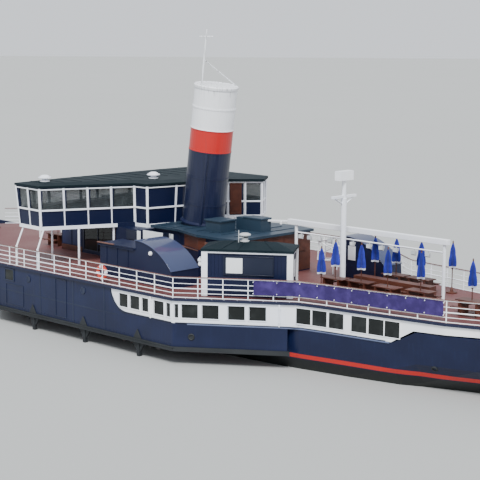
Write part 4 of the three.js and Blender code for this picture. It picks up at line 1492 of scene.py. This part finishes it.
@dataclass
class CasingDetails:
    """Panelling, ledges, boards and door trim of the casing and the fore house."""

    yard: Yard
    side_wall: Sequence[tuple[float, float]] = ((0.6, 2.73), (-1.1, 3.27), (-1.7, 3.27))
    side_foot: float = 5.12
    aft_wall: Sequence[tuple[float, float]] = ((-2.66, 3.27), (-2.9, 3.27), (-3.96, 3.06))
    aft_bays: int = 5
    foot: float = DECK + 0.06
    eave: float = 5.84
    shelf: float = 4.6
    house_side: float = 2.6
    house_front: float = 12.0
    house_panels: Sequence[float] = (10.02, 11.0)
    house_mullions: Sequence[float] = (9.75, 8.4, 7.05)
    roof_seams: Sequence[float] = (-3.2, -2.2, -1.2, -0.2, 0.8, 1.8, 2.8)

    def build(self) -> None:
        """Adds the pieces."""
        self._panels()
        self._ledges()
        self._wall_boards()
        trim = Form()
        trim.surround((-1.66, 3.26), (-2.7, 3.26), DECK + 0.02, 5.62, 0.07, 0.0, 0.05)
        trim.surround((6.96, 2.6), (5.94, 2.6), DECK + 0.02, 5.42, 0.06, 0.0, 0.05)
        self.yard.piece("house_trim", trim.mirrored(), "cap_wood", "varnished_wood", bevel=0.01)
        self._fore_house()
        self._roof()

    def _panels(self) -> None:
        """Adds the varnished panelling on the casing's sides and round its after end."""
        wood = Form()
        for side in Side:
            for wall, low in ((self.side_wall, self.side_foot), (self.aft_wall, self.foot)):
                for ends in zip(wall, wall[1:]):
                    first, last = side.wall(ends)
                    self._panelling(wood, last, first, low)
        x, y = self.aft_wall[-1]
        self._panelling(wood, (x, -y), (x, y), self.foot, self.aft_bays)
        self.yard.piece("casing_panels", wood, "varnished_wood", "varnished_wood", bevel=0.01)

    def _panelling(self, form: Form, start: Sequence[float], end: Sequence[float], low: float,
                   bays: int = 1) -> None:
        """Lays wood into a wall, up to the eave, with a frame behind it.

        Args:
            form: Form that takes them.
            start: Plan point where the wall starts, with its outer face to the left.
            end: Plan point where it ends.
            low: Height of the wood's lower edge.
            bays: Number of panels side by side.
        """
        a, b = Vector(start), Vector(end)
        for bay in range(bays):
            left, right = a.lerp(b, bay / bays), a.lerp(b, (bay + 1) / bays)
            form.panel(left, right, low, self.eave, 0.0, 0.03)
            form.surround(left, right, low - 0.01, self.eave + 0.01, 0.1, 0.02, 0.06)
            if low < self.shelf:
                form.panel(left, right, self.shelf, self.shelf + 0.1, 0.02, 0.06)

    def _ledges(self) -> None:
        """Adds the wooden ledges on the casing and their brackets."""
        ledge = Form().panel((-1.1, 3.27), (1.6, 2.5), 5.02, 5.08, 0.0, 0.16)
        ledge.panel((-3.96, -2.6), (-3.96, 2.9), 4.72, 4.78, 0.0, 0.3)
        ledge.block((3.75, 3.4, 4.55), (5.82, 3.75, 4.62))
        for x in (3.9, 5.6):
            ledge.bar((x, 3.41, 4.2), (x, 3.68, 4.54), 0.05, 0.05, (1.0, 0.0, 0.0))
        self.yard.piece("casing_ledges", ledge, "cap_wood", "varnished_wood", bevel=0.012)

    def _wall_boards(self) -> None:
        """Adds the light and the dark blank boards, with the rails that the light one hangs on."""
        light = Form().block((1.72, 3.36, 5.16), (3.4, 3.4, 5.78))
        light.block((3.58, 3.41, 5.06), (3.88, 3.45, 5.7))
        light.block((1.75, 2.51, 5.1), (2.08, 2.55, 5.62))
        self.yard.piece("wall_light_boards", light, "blank_board", bevel=0.006)
        dark = Form().block((3.95, 3.41, 5.13), (4.81, 3.46, 5.7))
        dark.block((2.14, 2.51, 5.1), (2.66, 2.56, 5.66))
        for x in (1.9, 3.3):
            for z in (5.3, 5.66):
                dark.block((x, 2.5, z), (x + 0.06, 3.37, z + 0.06))
        self.yard.piece("wall_dark_boards", dark, "dark_board", "navy_paint", bevel=0.006)

    def _fore_house(self) -> None:
        """Adds the panels, boards, panes and mullions of the house under the bridge."""
        wall, front = self.house_side, self.house_front
        panels = Form()
        for x in self.house_panels:
            panels.panel((x + 0.88, wall), (x, wall), 4.0, 5.3, 0.0, 0.02)
        self.yard.piece("house_panels", panels.mirrored(), "house_blue", "navy_paint", bevel=0.008)
        boards = Form()
        for low, high in ((5.36, 5.7), (DECK + 0.02, 3.95)):
            boards.panel((front - 0.01, wall), (9.95, wall), low, high, 0.0, 0.03)
        boards.panel((front, -2.5), (front, 2.5), DECK + 0.02, 4.2, 0.0, 0.03)
        self.yard.piece("house_boards", boards.mirrored(), "varnished_wood", "varnished_wood",
                        bevel=0.008)
        glass = Form().panel((9.7, wall), (7.06, wall), DECK + 0.25, 5.5, 0.002, 0.02)
        for low, high in ((-0.45, 0.45), (1.05, 1.95), (-0.45, 0.0)):
            glass.block((front - 0.08, low, 4.4), (front - 0.06, high, 5.1))
        self.yard.piece("house_panes", glass.mirrored(), "dark_glass", "dark_glass")
        mullions, face, out = Form(), wall + 0.03, (0.0, 1.0, 0.0)
        for x in self.house_mullions:
            mullions.bar((x, face, DECK + 0.2), (x, face, 5.56), 0.07, 0.06, out)
        for z in (DECK + 0.22, 5.53):
            mullions.bar((9.78, face, z), (7.02, face, z), 0.06, 0.06, out)
        self.yard.piece("house_mullions", mullions.mirrored(), "navy_trim", "navy_paint",
                        bevel=0.008)

    def _roof(self) -> None:
        """Adds the seams of the casing roof and the lids of its two boxes."""
        seams = Form()
        for x in self.roof_seams:
            seams.bar((x, -2.5, 6.01), (x, 2.5, 6.01), 0.04, 0.04)
        self.yard.piece("casing_roof_seams", seams, "roof_blue_paint", "roof_blue_paint")
        lids = Form().block((-1.72, 0.78, 6.6), (-0.38, 2.12, 6.7))
        lids.block((-3.05, -0.72, 6.68), (-1.6, 0.18, 6.78))
        for y in (1.1, 1.8):
            lids.block((-0.44, y, 6.2), (-0.38, y + 0.08, 6.62))
        self.yard.piece("roof_box_lids", lids, "roof_blue_paint", "roof_blue_paint", bevel=0.02)


@dataclass
class Parasols:
    """Closed parasols: pleated cloth gathered to the pole and pinched at its middle, with fringe
    and finial.
    """

    yard: Yard
    tables: int = 8
    pleats: int = 16
    levels: int = 14
    foot: float = 1.45
    head: float = 2.7
    span: float = 2.6
    octagon_share: float = 0.7071
    profile: Sequence[tuple[float, float]] = (
        (0.0, 0.225), (0.06, 0.235), (0.18, 0.235), (0.34, 0.21), (0.46, 0.18), (0.52, 0.162),
        (0.58, 0.17), (0.7, 0.15), (0.82, 0.115), (0.92, 0.075), (1.0, 0.036),
    )
    fringe_drops: Sequence[float] = (0.085, 0.06, 0.03, -0.012)
    finial: Sequence[tuple[float, float]] = (
        (0.03, 0.0), (0.045, 0.03), (0.03, 0.06), (0.04, 0.1), (0.02, 0.14), (0.004, 0.16),
    )
    extra: Sequence[tuple[float, float]] = ((-10.3, 3.35), (-9.9, -1.6), (-14.0, -3.0), (22.5, 0.1))

    def build(self) -> None:
        """Dresses every table's parasol and adds the free-standing ones."""
        places = [self._node_place(index) for index in range(1, self.tables + 1)]
        for index, place in enumerate([*places, *self.extra], 1):
            self._parasol(index, place, index <= len(places))

    @staticmethod
    def _node_place(index: int) -> tuple[float, float]:
        """Plan centre of a parasol's solid, in ship metres."""
        low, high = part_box(f"parasol_{index}")
        return (low[0] + high[0]) / 2 / MODEL, (low[1] + high[1]) / 2 / MODEL

    def _ring(self, place: tuple[float, float], share: float, drop: float,
              turn: float) -> list[Point]:
        """Pleated ring round the pole.

        Args:
            place: Plan centre.
            share: Share of the cloth's height, from zero at its foot.
            drop: Distance below that height.
            turn: Angle that sets this parasol apart from the others.

        Returns:
            The ring's points.
        """
        outer = table_at(self.profile, share)
        inner = max(0.028, outer * 0.36)
        z = DECK + self.foot + (self.head - self.foot - 0.03) * share - drop
        ring = []
        count = self.pleats * 6
        for k in range(count):
            angle = 2 * math.pi * k / count + 0.5 * share + turn
            pleat = abs(math.cos(self.pleats * math.pi * k / count))
            droop = 0.02 * math.cos(3 * angle) * (1 - share)
            reach = inner + (outer - inner) * pleat * (1 + 0.12 * math.sin(2 * angle + turn))
            ring.append((place[0] + reach * math.cos(angle), place[1] + reach * math.sin(angle),
                         z + droop))
        return ring

    def _parasol(self, index: int, place: tuple[float, float], replaced: bool) -> None:
        """Adds one parasol.

        Args:
            index: Number in the pieces' names.
            place: Plan centre.
            replaced: Whether it stands for a node, on a table, or on a foot of its own.
        """
        turn = 0.9 * index
        cloth = Form().skin([self._ring(place, step / self.levels, 0.0, turn)
                             for step in range(self.levels + 1)], ends=False)
        piece = self.yard.piece(f"parasol_cloth_{index}", cloth, "parasol_cloth", "parasol_cloth",
                                outward=False)
        hem = Form().skin([self._ring(place, 0.0, drop, turn) for drop in self.fringe_drops],
                          ends=False)
        fringe = self.yard.piece(f"parasol_fringe_{index}", hem, "fringe_cloth", outward=False)
        fittings = Form().lathe((*place, DECK + self.head - 0.04), self.finial, 10)
        fittings.lathe((*place, DECK + self.foot - 0.16), ((0.05, 0.0), (0.05, 0.09), (0.03, 0.12)),
                       10)
        if not replaced:
            fittings.lathe((*place, DECK + 0.003),
                           ((0.3, 0.0), (0.3, 0.06), (0.1, 0.09), (0.05, 0.3), (0.026, 0.32),
                            (0.026, self.head - 0.05)), 16)
        hub = self.yard.piece(f"parasol_fittings_{index}", fittings, "varnished_wood",
                              "varnished_wood")
        if replaced:
            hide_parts(f"parasol_{index}")


@dataclass
class Banner:
    """Blank cloth banner laced outside the port rail."""

    yard: Yard
    after: float = -18.1
    fore: float = -8.1
    low: float = 0.32
    high: float = 1.02
    columns: int = 190
    levels: int = 8
    lacing_step: int = 19
    middle_rail: float = 0.48

    def build(self) -> None:
        """Adds the cloth, its hems and its lacing."""
        rows = [self._row(level / self.levels) for level in range(self.levels + 1)]
        cloth = Form().skin(rows, closed=False, ends=False)
        piece = self.yard.piece("banner_sheet", cloth, "banner_cloth", "banner_cloth",
                                outward=False)
        hems = Form()
        for row in (rows[0], rows[-1]):
            hems.tube(row[::3], 0.017, 6)
        hem = self.yard.piece("banner_hems", hems, "banner_cloth", "banner_cloth")
        ties = self.yard.piece("banner_lacing", self._lacing(rows[0]), "white_paint")
        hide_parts("banner")

    def _row(self, share: float) -> list[Point]:
        """Points along the cloth, from forward to aft.

        Args:
            share: Share of the cloth's height, from zero at its foot.

        Returns:
            The points.
        """
        step = (self.fore - self.after) / self.columns
        z = DECK + self.low + (self.high - self.low) * share
        row = []
        for i in range(self.columns + 1):
            x = self.fore - step * i
            ripple = (0.012 * math.sin(x * 4.1) * math.sin(math.pi * share)
                      + 0.008 * math.sin(x * 9.7 + 2 * share))
            sag = 0.016 * math.sin(x * 2 * math.pi / 1.1) * (1 - share)
            row.append((x, deck_half(x) - 0.03 + ripple, z + sag * 0.5))
        return row

    def _lacing(self, foot: Sequence[Point]) -> Form:
        """Ties from the cloth's eyelets to the rails behind them.

        Args:
            foot: Points along the cloth's lower edge.

        Returns:
            Their form.
        """
        lacing = Form()
        ties = ((DECK + self.high - 0.05, DECK + RAIL_HEIGHT - 0.02),
                (DECK + self.low + 0.05, DECK + self.middle_rail))
        for x, y, _ in foot[::self.lacing_step]:
            for z, reach in ties:
                lacing.tube(((x, y + 0.012, z), (x, y - 0.03, (z + reach) / 2),
                             (x, y - 0.07, reach)), 0.012, 6)
                lacing.lathe((x, y + 0.004, z), ((0.028, 0.0), (0.028, 0.012), (0.012, 0.014)),
                             10, (0.0, 1.0, 0.0))
        return lacing


@dataclass
class PergolaLights:
    """Cover of the pergola's beams, the cross beam, the floodlights and their hung frame."""

    yard: Yard
    line: float = -1.1
    lower: float = 6.07
    beam: float = 6.62
    lights: Sequence[float] = (
        -5.0, -5.65, -6.4, -7.15, -8.75, -9.9, -10.75, -11.7, -12.9, -13.8,
    )
    hung_corners: Sequence[tuple[float, float]] = (
        (-6.26, 5.7), (-6.99, 5.93), (-7.47, 5.33), (-7.1, 4.75), (-6.17, 4.67),
    )
    hung_sides: tuple[float, float] = (-1.75, -1.15)

    def build(self) -> None:
        """Adds the pieces."""
        beams = Form().block((-15.05, -1.25, 6.49), (-4.03, -0.95, 6.77))
        beams.block((12.0, 0.45, 6.49), (17.0, 0.75, 6.77))
        beams.bar((-2.98, -0.46, self.beam), (-4.9, -1.82, self.beam), 0.1, 0.1)
        beams.tube(((-3.6, -0.9, 6.6), (-3.6, -0.9, 6.42)), 0.07, 12)
        self.yard.piece("pergola_beams", beams, "white_paint", bevel=0.015)
        housings, lenses = Form(), Form()
        for x in self.lights:
            self._floodlight(housings, lenses, x)
        self.yard.piece("floodlight_housings", housings, "zinc_paint", "white_paint", bevel=0.008)
        self.yard.piece("floodlight_lenses", lenses, "lamp_glass", "dark_glass")
        self._hung_frame()

    def _hung_frame(self) -> None:
        """Adds the open frame that hangs from the lower beam."""
        hung = Form()
        for y in self.hung_sides:
            corners = [(x, y, z) for x, z in self.hung_corners]
            hung.tube([*corners, corners[0]], 0.035)
            hung.tube((corners[0], corners[2]), 0.03)
        first, last = self.hung_sides
        for index in (0, 1, 2, 4):
            x, z = self.hung_corners[index]
            hung.tube(((x, first, z), (x, last, z)), 0.03)
        for (x, z), top in ((self.hung_corners[1], -6.99), (self.hung_corners[0], -6.3)):
            hung.tube(((x, last, z), (top, self.line, self.lower)), 0.025)
        self.yard.piece("hung_frame", hung, "white_paint")

    def _floodlight(self, housings: Form, lenses: Form, x: float) -> None:
        """Adds one floodlight hung under the lower beam.

        Args:
            housings: Form of the bodies and brackets.
            lenses: Form of the glasses.
            x: Place along the ship.
        """
        y, top = self.line, self.lower - 0.05
        housings.tube(((x, y, top + 0.03), (x, y, top - 0.06)), 0.03)
        housings.bar((x - 0.15, y, top - 0.07), (x + 0.15, y, top - 0.07), 0.03, 0.03)
        for reach in (-0.15, 0.15):
            housings.bar((x + reach, y, top - 0.07), (x + reach, y + 0.05, top - 0.2), 0.03, 0.03,
                         (1.0, 0.0, 0.0))
        corners = ((-1, -1), (1, -1), (1, 1), (-1, 1))
        housings.skin([[(x + a * wide, y + out, top - 0.22 + b * tall + out * 0.5)
                        for a, b in corners] for out, wide, tall in
                       ((-0.06, 0.08, 0.05), (0.03, 0.135, 0.1), (0.13, 0.14, 0.11))])
        lens = [(x + a * 0.12, y + 0.132, top - 0.155 + b * 0.09) for a, b in corners]
        lenses.skin([lens, [(p[0], p[1] + 0.01, p[2]) for p in lens]])


@dataclass
class HullFittings:
    """Windows, portholes, pipes, knees and fairleads on the sponsons and the white band."""

    yard: Yard
    plating: float = 8.5
    windows: Sequence[tuple[float, float]] = (
        (-0.705, 0.75), (-1.62, 0.8), (-2.45, 0.56), (-3.52, 0.82), (-4.255, 0.35), (-4.73, 0.2),
        (-5.305, 0.75), (-6.2, 0.76), (-7.32, 0.76), (-8.23, 0.76), (-10.3, 0.7), (-11.21, 0.74),
        (-12.18, 0.76), (-13.5, 0.78), (-14.47, 0.76), (-15.36, 0.72), (11.7, 0.7), (12.65, 0.7),
        (13.7, 0.7), (14.65, 0.7), (16.9, 0.7), (17.8, 0.7),
    )
    large_abaft: float = -10.0
    band_end: Sequence[tuple[float, float]] = (
        (-0.9, 2.26), (-0.6, 2.31), (-0.3, 2.43), (0.0, 2.71), (0.22, 3.05), (0.35, 3.43),
    )
    moulding_run: Sequence[float] = (
        -5.2, -6.4, -7.6, -8.8, -9.8, -10.4, -11.6, -12.8, -14.0, -15.2,
    )
    strip_run: Sequence[float] = (
        -0.9, -2.0, -3.2, -4.4, -4.8, -6.0, -7.2, -8.4, -9.6, -10.2, -11.4, -13.0, -15.0,
    )
    pipe_places: Sequence[float] = (-2.92, -9.2)
    porthole_places: Sequence[float] = (2.72, 7.7)
    porthole_profile: Sequence[tuple[float, float]] = (
        (0.13, 0.0), (0.2, 0.0), (0.21, 0.03), (0.17, 0.05), (0.13, 0.04),
    )
    seam_places: Sequence[float] = (0.9, 3.6, 6.6, 10.6)
    knee_places: Sequence[float] = (-1.85, 2.7, 7.3)
    fairlead_profile: Sequence[tuple[float, float]] = (
        (0.1, 0.0), (0.17, 0.02), (0.18, 0.06), (0.14, 0.1), (0.1, 0.08), (0.09, 0.03),
    )
    fairleads: Sequence[tuple[Point, Point]] = (
        ((-17.5, 3.24, 1.2), (-0.2, 0.79, -0.58)), ((-5.4, 7.93, 1.55), (-0.57, 0.82, 0.0)),
    )

    @staticmethod
    def band_y(x: float, out: float) -> float:
        """Distance from the centreline of a point some way outside the band's plating."""
        slope = (deck_half(x + 0.02) - deck_half(x - 0.02)) / 0.04
        return deck_half(x) - (0.1 - out) * math.hypot(1.0, slope)

    def build(self) -> None:
        """Adds the pieces."""
        self._windows()
        self._band()
        self._sponson()
        self._knees()
        leads = Form()
        for place, facing in self.fairleads:
            out = Vector(facing).normalized()
            foot = Vector(place) - out * 0.03
            leads.lathe(foot, self.fairlead_profile, 16, out)
            leads.lathe(foot, ((0.12, 0.0), (0.12, 0.045)), 16, out)
        self.yard.piece("fairleads", leads.mirrored(), "guard_paint", "guard_paint")

    def _windows(self) -> None:
        """Adds the rims of the band's windows, and panes in the large ones."""
        rims, panes = Form(), Form()
        for x, width in self.windows:
            large = x < self.large_abaft
            half = width / 2 + (0.09 if large else 0.03)
            low, high = (2.45, 3.34) if large else (2.49, 3.31)
            ends = [(x + sign * half, self.band_y(x + sign * half, 0.0)) for sign in (1, -1)]
            rims.surround(*ends, low, high, 0.045, -0.01, 0.03)
            if large:
                panes.panel(*ends, low + 0.02, high - 0.02, 0.002, 0.012)
        self.yard.piece("band_window_rims", rims.mirrored(), "white_paint", bevel=0.008)
        self.yard.piece("band_window_panes", panes.mirrored(), "dark_glass", "dark_glass")

    def _band(self) -> None:
        """Adds the moulding and the strips under the white band, and its scupper pipes."""
        moulding = Form().tube([(x, self.band_y(x, -0.02), MAIN_DECK - 0.035)
                                for x in self.moulding_run], 0.055)
        self.yard.piece("band_moulding", moulding.mirrored(), "moulding_blue", "navy_paint")
        strip = Form().tube([(x + 0.03, self.plating + 0.01, z) for x, z in self.band_end], 0.045)
        strip.tube([(x, self.band_y(x, 0.01), MAIN_DECK + 0.02) for x in self.strip_run], 0.03)
        self.yard.piece("band_strips", strip.mirrored(), "dark_board", "navy_paint")
        pipes = Form()
        for x in self.pipe_places:
            y = self.band_y(x, 0.05)
            pipes.tube(((x, y, MAIN_DECK + 0.02), (x, y, DECK_UNDER + 0.05)), 0.05)
            for z in (2.5, 3.2):
                pipes.lathe((x, y, z), ((0.07, -0.02), (0.07, 0.02)), 12)
        self.yard.piece("scupper_pipes", pipes.mirrored(), "white_paint", bevel=0.008)

    def _sponson(self) -> None:
        """Adds the window, the portholes, the plates' edges and the rivets of the navy side."""
        wall, out = self.plating, (0.0, 1.0, 0.0)
        trim, glass = Form(), Form()
        trim.surround((10.0, wall), (9.08, wall), 2.6, 3.36, 0.08, -0.01, 0.035)
        glass.panel((9.94, wall), (9.14, wall), 2.66, 3.3, -0.005, 0.012)
        for x in self.porthole_places:
            trim.lathe((x, wall - 0.01, 2.96), self.porthole_profile, 20, out)
            glass.lathe((x, wall - 0.005, 2.96), ((0.14, 0.0), (0.14, 0.02)), 20, out)
        trim.surround((5.2, wall), (4.2, wall), 1.14, 3.36, 0.045, -0.01, 0.03)
        trim.surround((9.9, wall), (8.2, wall), 1.2, 2.45, 0.04, -0.01, 0.025)
        for x in self.seam_places:
            trim.bar((x, wall, 1.02), (x, wall, 3.4), 0.1, 0.024, out)
        trim.bar((-0.2, wall, 2.05), (10.8, wall, 2.05), 0.07, 0.02, out)
        self.yard.piece("sponson_fittings", trim.mirrored(), "navy_trim", "navy_paint",
                        bevel=0.008)
        self.yard.piece("sponson_glass", glass.mirrored(), "dark_glass", "dark_glass")
        for side in Side:
            path = [(x, (wall + 0.005) * side.value, 1.12) for x in (-4.4, 10.8)]
            self.yard.repeat(f"sponson_rivets_{side.word}", self.yard.bolts, path, "navy_paint",
                             "navy_paint", Pitch=0.3, Long=0.05, Deep=0.04, High=0.05)

    def _knees(self) -> None:
        """Adds brackets over the guard's posts and rubbing strips along it."""
        knees = Form()
        for x in self.knee_places:
            outline = ((x - 0.32, 0.995), (x + 0.32, 0.995), (x, 1.5))
            knees.skin([[(along, y, z) for along, z in outline]
                        for y in (self.plating - 0.005, self.plating + 0.06)])
        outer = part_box("guard_port")[1][1] / MODEL
        for z in (0.8, 0.96):
            knees.bar((-4.7, outer, z), (10.9, outer, z), 0.05, 0.05, (0.0, 1.0, 0.0))
        self.yard.piece("guard_knees", knees.mirrored(), "guard_paint", "guard_paint", bevel=0.01)


@dataclass
class FunnelDetails:
    """Hoops, rim, rivets, ladder and collar of the funnel."""

    yard: Yard
    hoops: Sequence[float] = (1.3, 2.9, 4.47, 5.75, 7.0)
    rivet_rows: Sequence[float] = (1.38, 2.98, 7.08)
    rivet_pitch: float = 0.16
    facets: int = 64
    rungs: int = 22
    rung_pitch: float = 0.35
    ladder_half: float = 0.2
    # Each profile pairs the distance outside the tube with the height along it.
    hoop_profile: Sequence[tuple[float, float]] = (
        (-0.02, 0.0), (0.02, 0.0), (0.02, 0.08), (-0.02, 0.08),
    )
    rim_profile: Sequence[tuple[float, float]] = (
        (-0.01, 0.0), (0.03, 0.02), (0.055, 0.1), (0.055, 0.18), (0.02, 0.22), (-0.02, 0.22),
    )
    collar_profile: Sequence[tuple[float, float]] = (
        (-0.02, 0.0), (0.12, 0.0), (0.12, 0.06), (0.0, 0.16),
    )
    foot: Vector = field(default_factory=lambda: Vector((FUNNEL_FOOT[0], 0.0, FUNNEL_FOOT[1])))
    top: Vector = field(default_factory=lambda: Vector((FUNNEL_TOP[0], 0.0, FUNNEL_TOP[1])))

    def build(self) -> None:
        """Adds the pieces."""
        axis = (self.top - self.foot).normalized()
        length = (self.top - self.foot).length
        rings = Form()
        for along in self.hoops:
            self._turned(rings, axis, along - 0.04, self.hoop_profile)
        self.yard.piece("funnel_hoops", rings, "funnel_bands", "navy_paint")
        rim = self._turned(Form(), axis, length - 0.24, self.rim_profile)
        self.yard.piece("funnel_rim", rim, "funnel_bands", "white_paint")
        self._rivets(axis)
        self._ladder(axis, length)
        collar = self._turned(Form(), axis, 0.12, self.collar_profile)
        self.yard.piece("funnel_collar", collar, "navy_paint", "navy_paint")

    def _turned(self, form: Form, axis: Vector, along: float,
                profile: Sequence[tuple[float, float]]) -> Form:
        """Adds a ring round the tube.

        Args:
            form: Form that takes it.
            axis: Direction of the funnel.
            along: Distance of its foot from the funnel's.
            profile: Pairs of distance outside the tube and height.

        Returns:
            The form.
        """
        sizes = [(FUNNEL_RADIUS + out, height) for out, height in profile]
        return form.lathe(self.foot + axis * along, sizes, self.facets, axis)

    def _rivets(self, axis: Vector) -> None:
        """Adds the rows of rivets round the plates' seams.

        Args:
            axis: Direction of the funnel.
        """
        side = Vector((0.0, 1.0, 0.0))
        ahead = side.cross(axis)
        reach = FUNNEL_RADIUS + 0.004
        for along in self.rivet_rows:
            centre = self.foot + axis * along
            path = [tuple(centre + (side * math.cos(t) + ahead * math.sin(t)) * reach)
                    for t in round_points(48)]
            self.yard.repeat(f"funnel_rivets_{round(along * 100)}", self.yard.bolts, path,
                             "funnel_bands", "navy_paint", True, Pitch=self.rivet_pitch,
                             Long=0.035, Deep=0.035, High=0.035)

    def _ladder(self, axis: Vector, length: float) -> None:
        """Adds the ladder up the funnel.

        Args:
            axis: Direction of the funnel.
            length: Length of the funnel along it.
        """
        side = Vector((0.0, 1.0, 0.0))
        out = side.cross(axis) * (FUNNEL_RADIUS + 0.1)
        ladder = Form()
        for across in (-self.ladder_half, self.ladder_half):
            ladder.tube([self.foot + axis * z + out + side * across for z in (0.3, length - 0.3)],
                        0.025)
        for rung in range(self.rungs):
            centre = self.foot + axis * (0.5 + self.rung_pitch * rung) + out
            ladder.tube([centre - side * self.ladder_half, centre + side * self.ladder_half],
                        0.016, 6)
        self.yard.piece("funnel_ladder", ladder, "white_paint")


@dataclass
class DeckFittings:
    """Mooring gear of the two lower decks, lifebuoys and the mast's sleeve."""

    yard: Yard
    fore_floor: float = 2.4
    aft_floor: float = 2.3
    bollard_profile: Sequence[tuple[float, float]] = (
        (0.1, 0.0), (0.09, 0.4), (0.13, 0.44), (0.13, 0.5), (0.06, 0.53),
    )
    windlass_profile: Sequence[tuple[float, float]] = (
        (0.12, 0.0), (0.2, 0.08), (0.13, 0.16), (0.13, 0.55), (0.26, 0.6), (0.26, 0.8),
        (0.13, 0.85), (0.13, 1.24), (0.2, 1.32), (0.12, 1.4),
    )
    buoy_places: Sequence[float] = (1.25, -20.3)
    buoy_radius: float = 0.33
    mast: float = -8.95
    sleeve_profile: Sequence[tuple[float, float]] = (
        (0.24, 0.0), (0.24, 0.05), (0.16, 0.1), (0.155, 4.86), (0.12, 4.9), (0.12, 5.84),
    )
    yard_half: float = 0.98
    yard_level: float = 8.56

    def build(self) -> None:
        """Adds the pieces."""
        self._mooring_gear()
        self._lifebuoys()
        sleeve = Form().lathe((self.mast, 0.0, DECK + 0.004), self.sleeve_profile, 24)
        sleeve.bar((self.mast, -self.yard_half, self.yard_level),
                   (self.mast, self.yard_half, self.yard_level), 0.15, 0.15)
        self.yard.piece("mast_sleeve", sleeve, "white_paint", bevel=0.01)

    def _mooring_gear(self) -> None:
        """Adds the bollards on both lower decks and the windlass on the fore one."""
        iron, fore = Form(), self.fore_floor
        for x, y, floor in ((23.2, 0.95, fore), (26.5, 0.62, fore), (-24.6, 0.85, self.aft_floor)):
            iron.block((x - 0.45, y - 0.16, floor + 0.002), (x + 0.45, y + 0.16, floor + 0.06))
            for reach in (-0.25, 0.25):
                iron.lathe((x + reach, y, floor + 0.05), self.bollard_profile, 14)
        iron.mirrored()
        iron.block((24.6, -0.55, fore + 0.002), (25.4, 0.55, fore + 0.12))
        iron.lathe((25.0, -0.7, fore + 0.45), self.windlass_profile, 18, (0.0, 1.0, 0.0))
        for y in (-0.42, 0.42):
            iron.block((24.85, y - 0.05, fore + 0.1), (25.15, y + 0.05, fore + 0.6))
        self.yard.piece("mooring_gear", iron, "guard_paint", "guard_paint", bevel=0.01)

    def _lifebuoys(self) -> None:
        """Adds lifebuoys hung inside the rails."""
        rings, bands = Form(), Form()
        arcs = ((rings, 0.0, 0.2, 0.095), (bands, 0.195, 0.255, 0.102))
        for x in self.buoy_places:
            slope = (deck_half(x + 0.3) - deck_half(x - 0.3)) / 0.6
            along = Vector((1.0, slope, 0.0)).normalized()
            centre = Vector((x, deck_half(x) - 0.25 * math.hypot(1.0, slope), DECK + 0.56))
            for quarter in range(4):
                for form, first, last, tube in arcs:
                    turns = [2 * math.pi * (quarter / 4 + first + (last - first) * k / 8)
                             for k in range(9)]
                    form.tube([centre + along * (self.buoy_radius * math.cos(t))
                               + Vector((0.0, 0.0, self.buoy_radius * math.sin(t)))
                               for t in turns], tube, 12)
        self.yard.piece("lifebuoy_rings", rings.mirrored(), "buoy_red", "deck_paint")
        self.yard.piece("lifebuoy_bands", bands.mirrored(), "white_paint")


@dataclass
class RoofDetails:
    """Vent caps and roof seams of the bridge."""

    yard: Yard
    level: float = 8.44
    cap_places: Sequence[tuple[float, float]] = ((8.6, 6.5), (8.6, -6.5), (5.55, 0.6))
    cap_profile: Sequence[tuple[float, float]] = (
        (0.3, 0.0), (0.3, 0.06), (0.18, 0.08), (0.18, 0.2), (0.4, 0.22), (0.4, 0.27), (0.3, 0.3),
        (0.3, 0.33), (0.16, 0.4), (0.03, 0.41),
    )
    seam_level: float = 8.467
    seam_reach: int = 7
    seam_fore: float = 9.3

    def build(self) -> None:
        """Adds the pieces."""
        caps = Form()
        for x, y in self.cap_places:
            caps.lathe((x, y, self.level), self.cap_profile, 20)
        self.yard.piece("bridge_vent_caps", caps, "white_paint")
        seams = Form()
        for y in range(-self.seam_reach, self.seam_reach + 1):
            low = 6.0 + max(0.0, abs(y) - 2.6) * 0.42
            seams.bar((low, y, self.seam_level), (self.seam_fore, y, self.seam_level), 0.03, 0.02)
        self.yard.piece("bridge_roof_seams", seams, "roof_green_paint", "roof_green_paint")


def main() -> None:
    """Builds the scene in order."""
    logging.basicConfig(level=logging.INFO, format="%(name)s: %(message)s")
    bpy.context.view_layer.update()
    finishes = Finishes()
    finishes.build()
    Studio(finishes).build()
    PackedNodes(finishes).build()
    yard = Yard(finishes)
    assemblies = (BridgeFrames, LobbyFrames, DeckRails, Kiosk, StairHoods, CasingDetails, Parasols,
                  Banner, PergolaLights, HullFittings, FunnelDetails, DeckFittings, RoofDetails)
    for assembly in assemblies:
        assembly(yard).build()


if __name__ == "__main__":
    main()
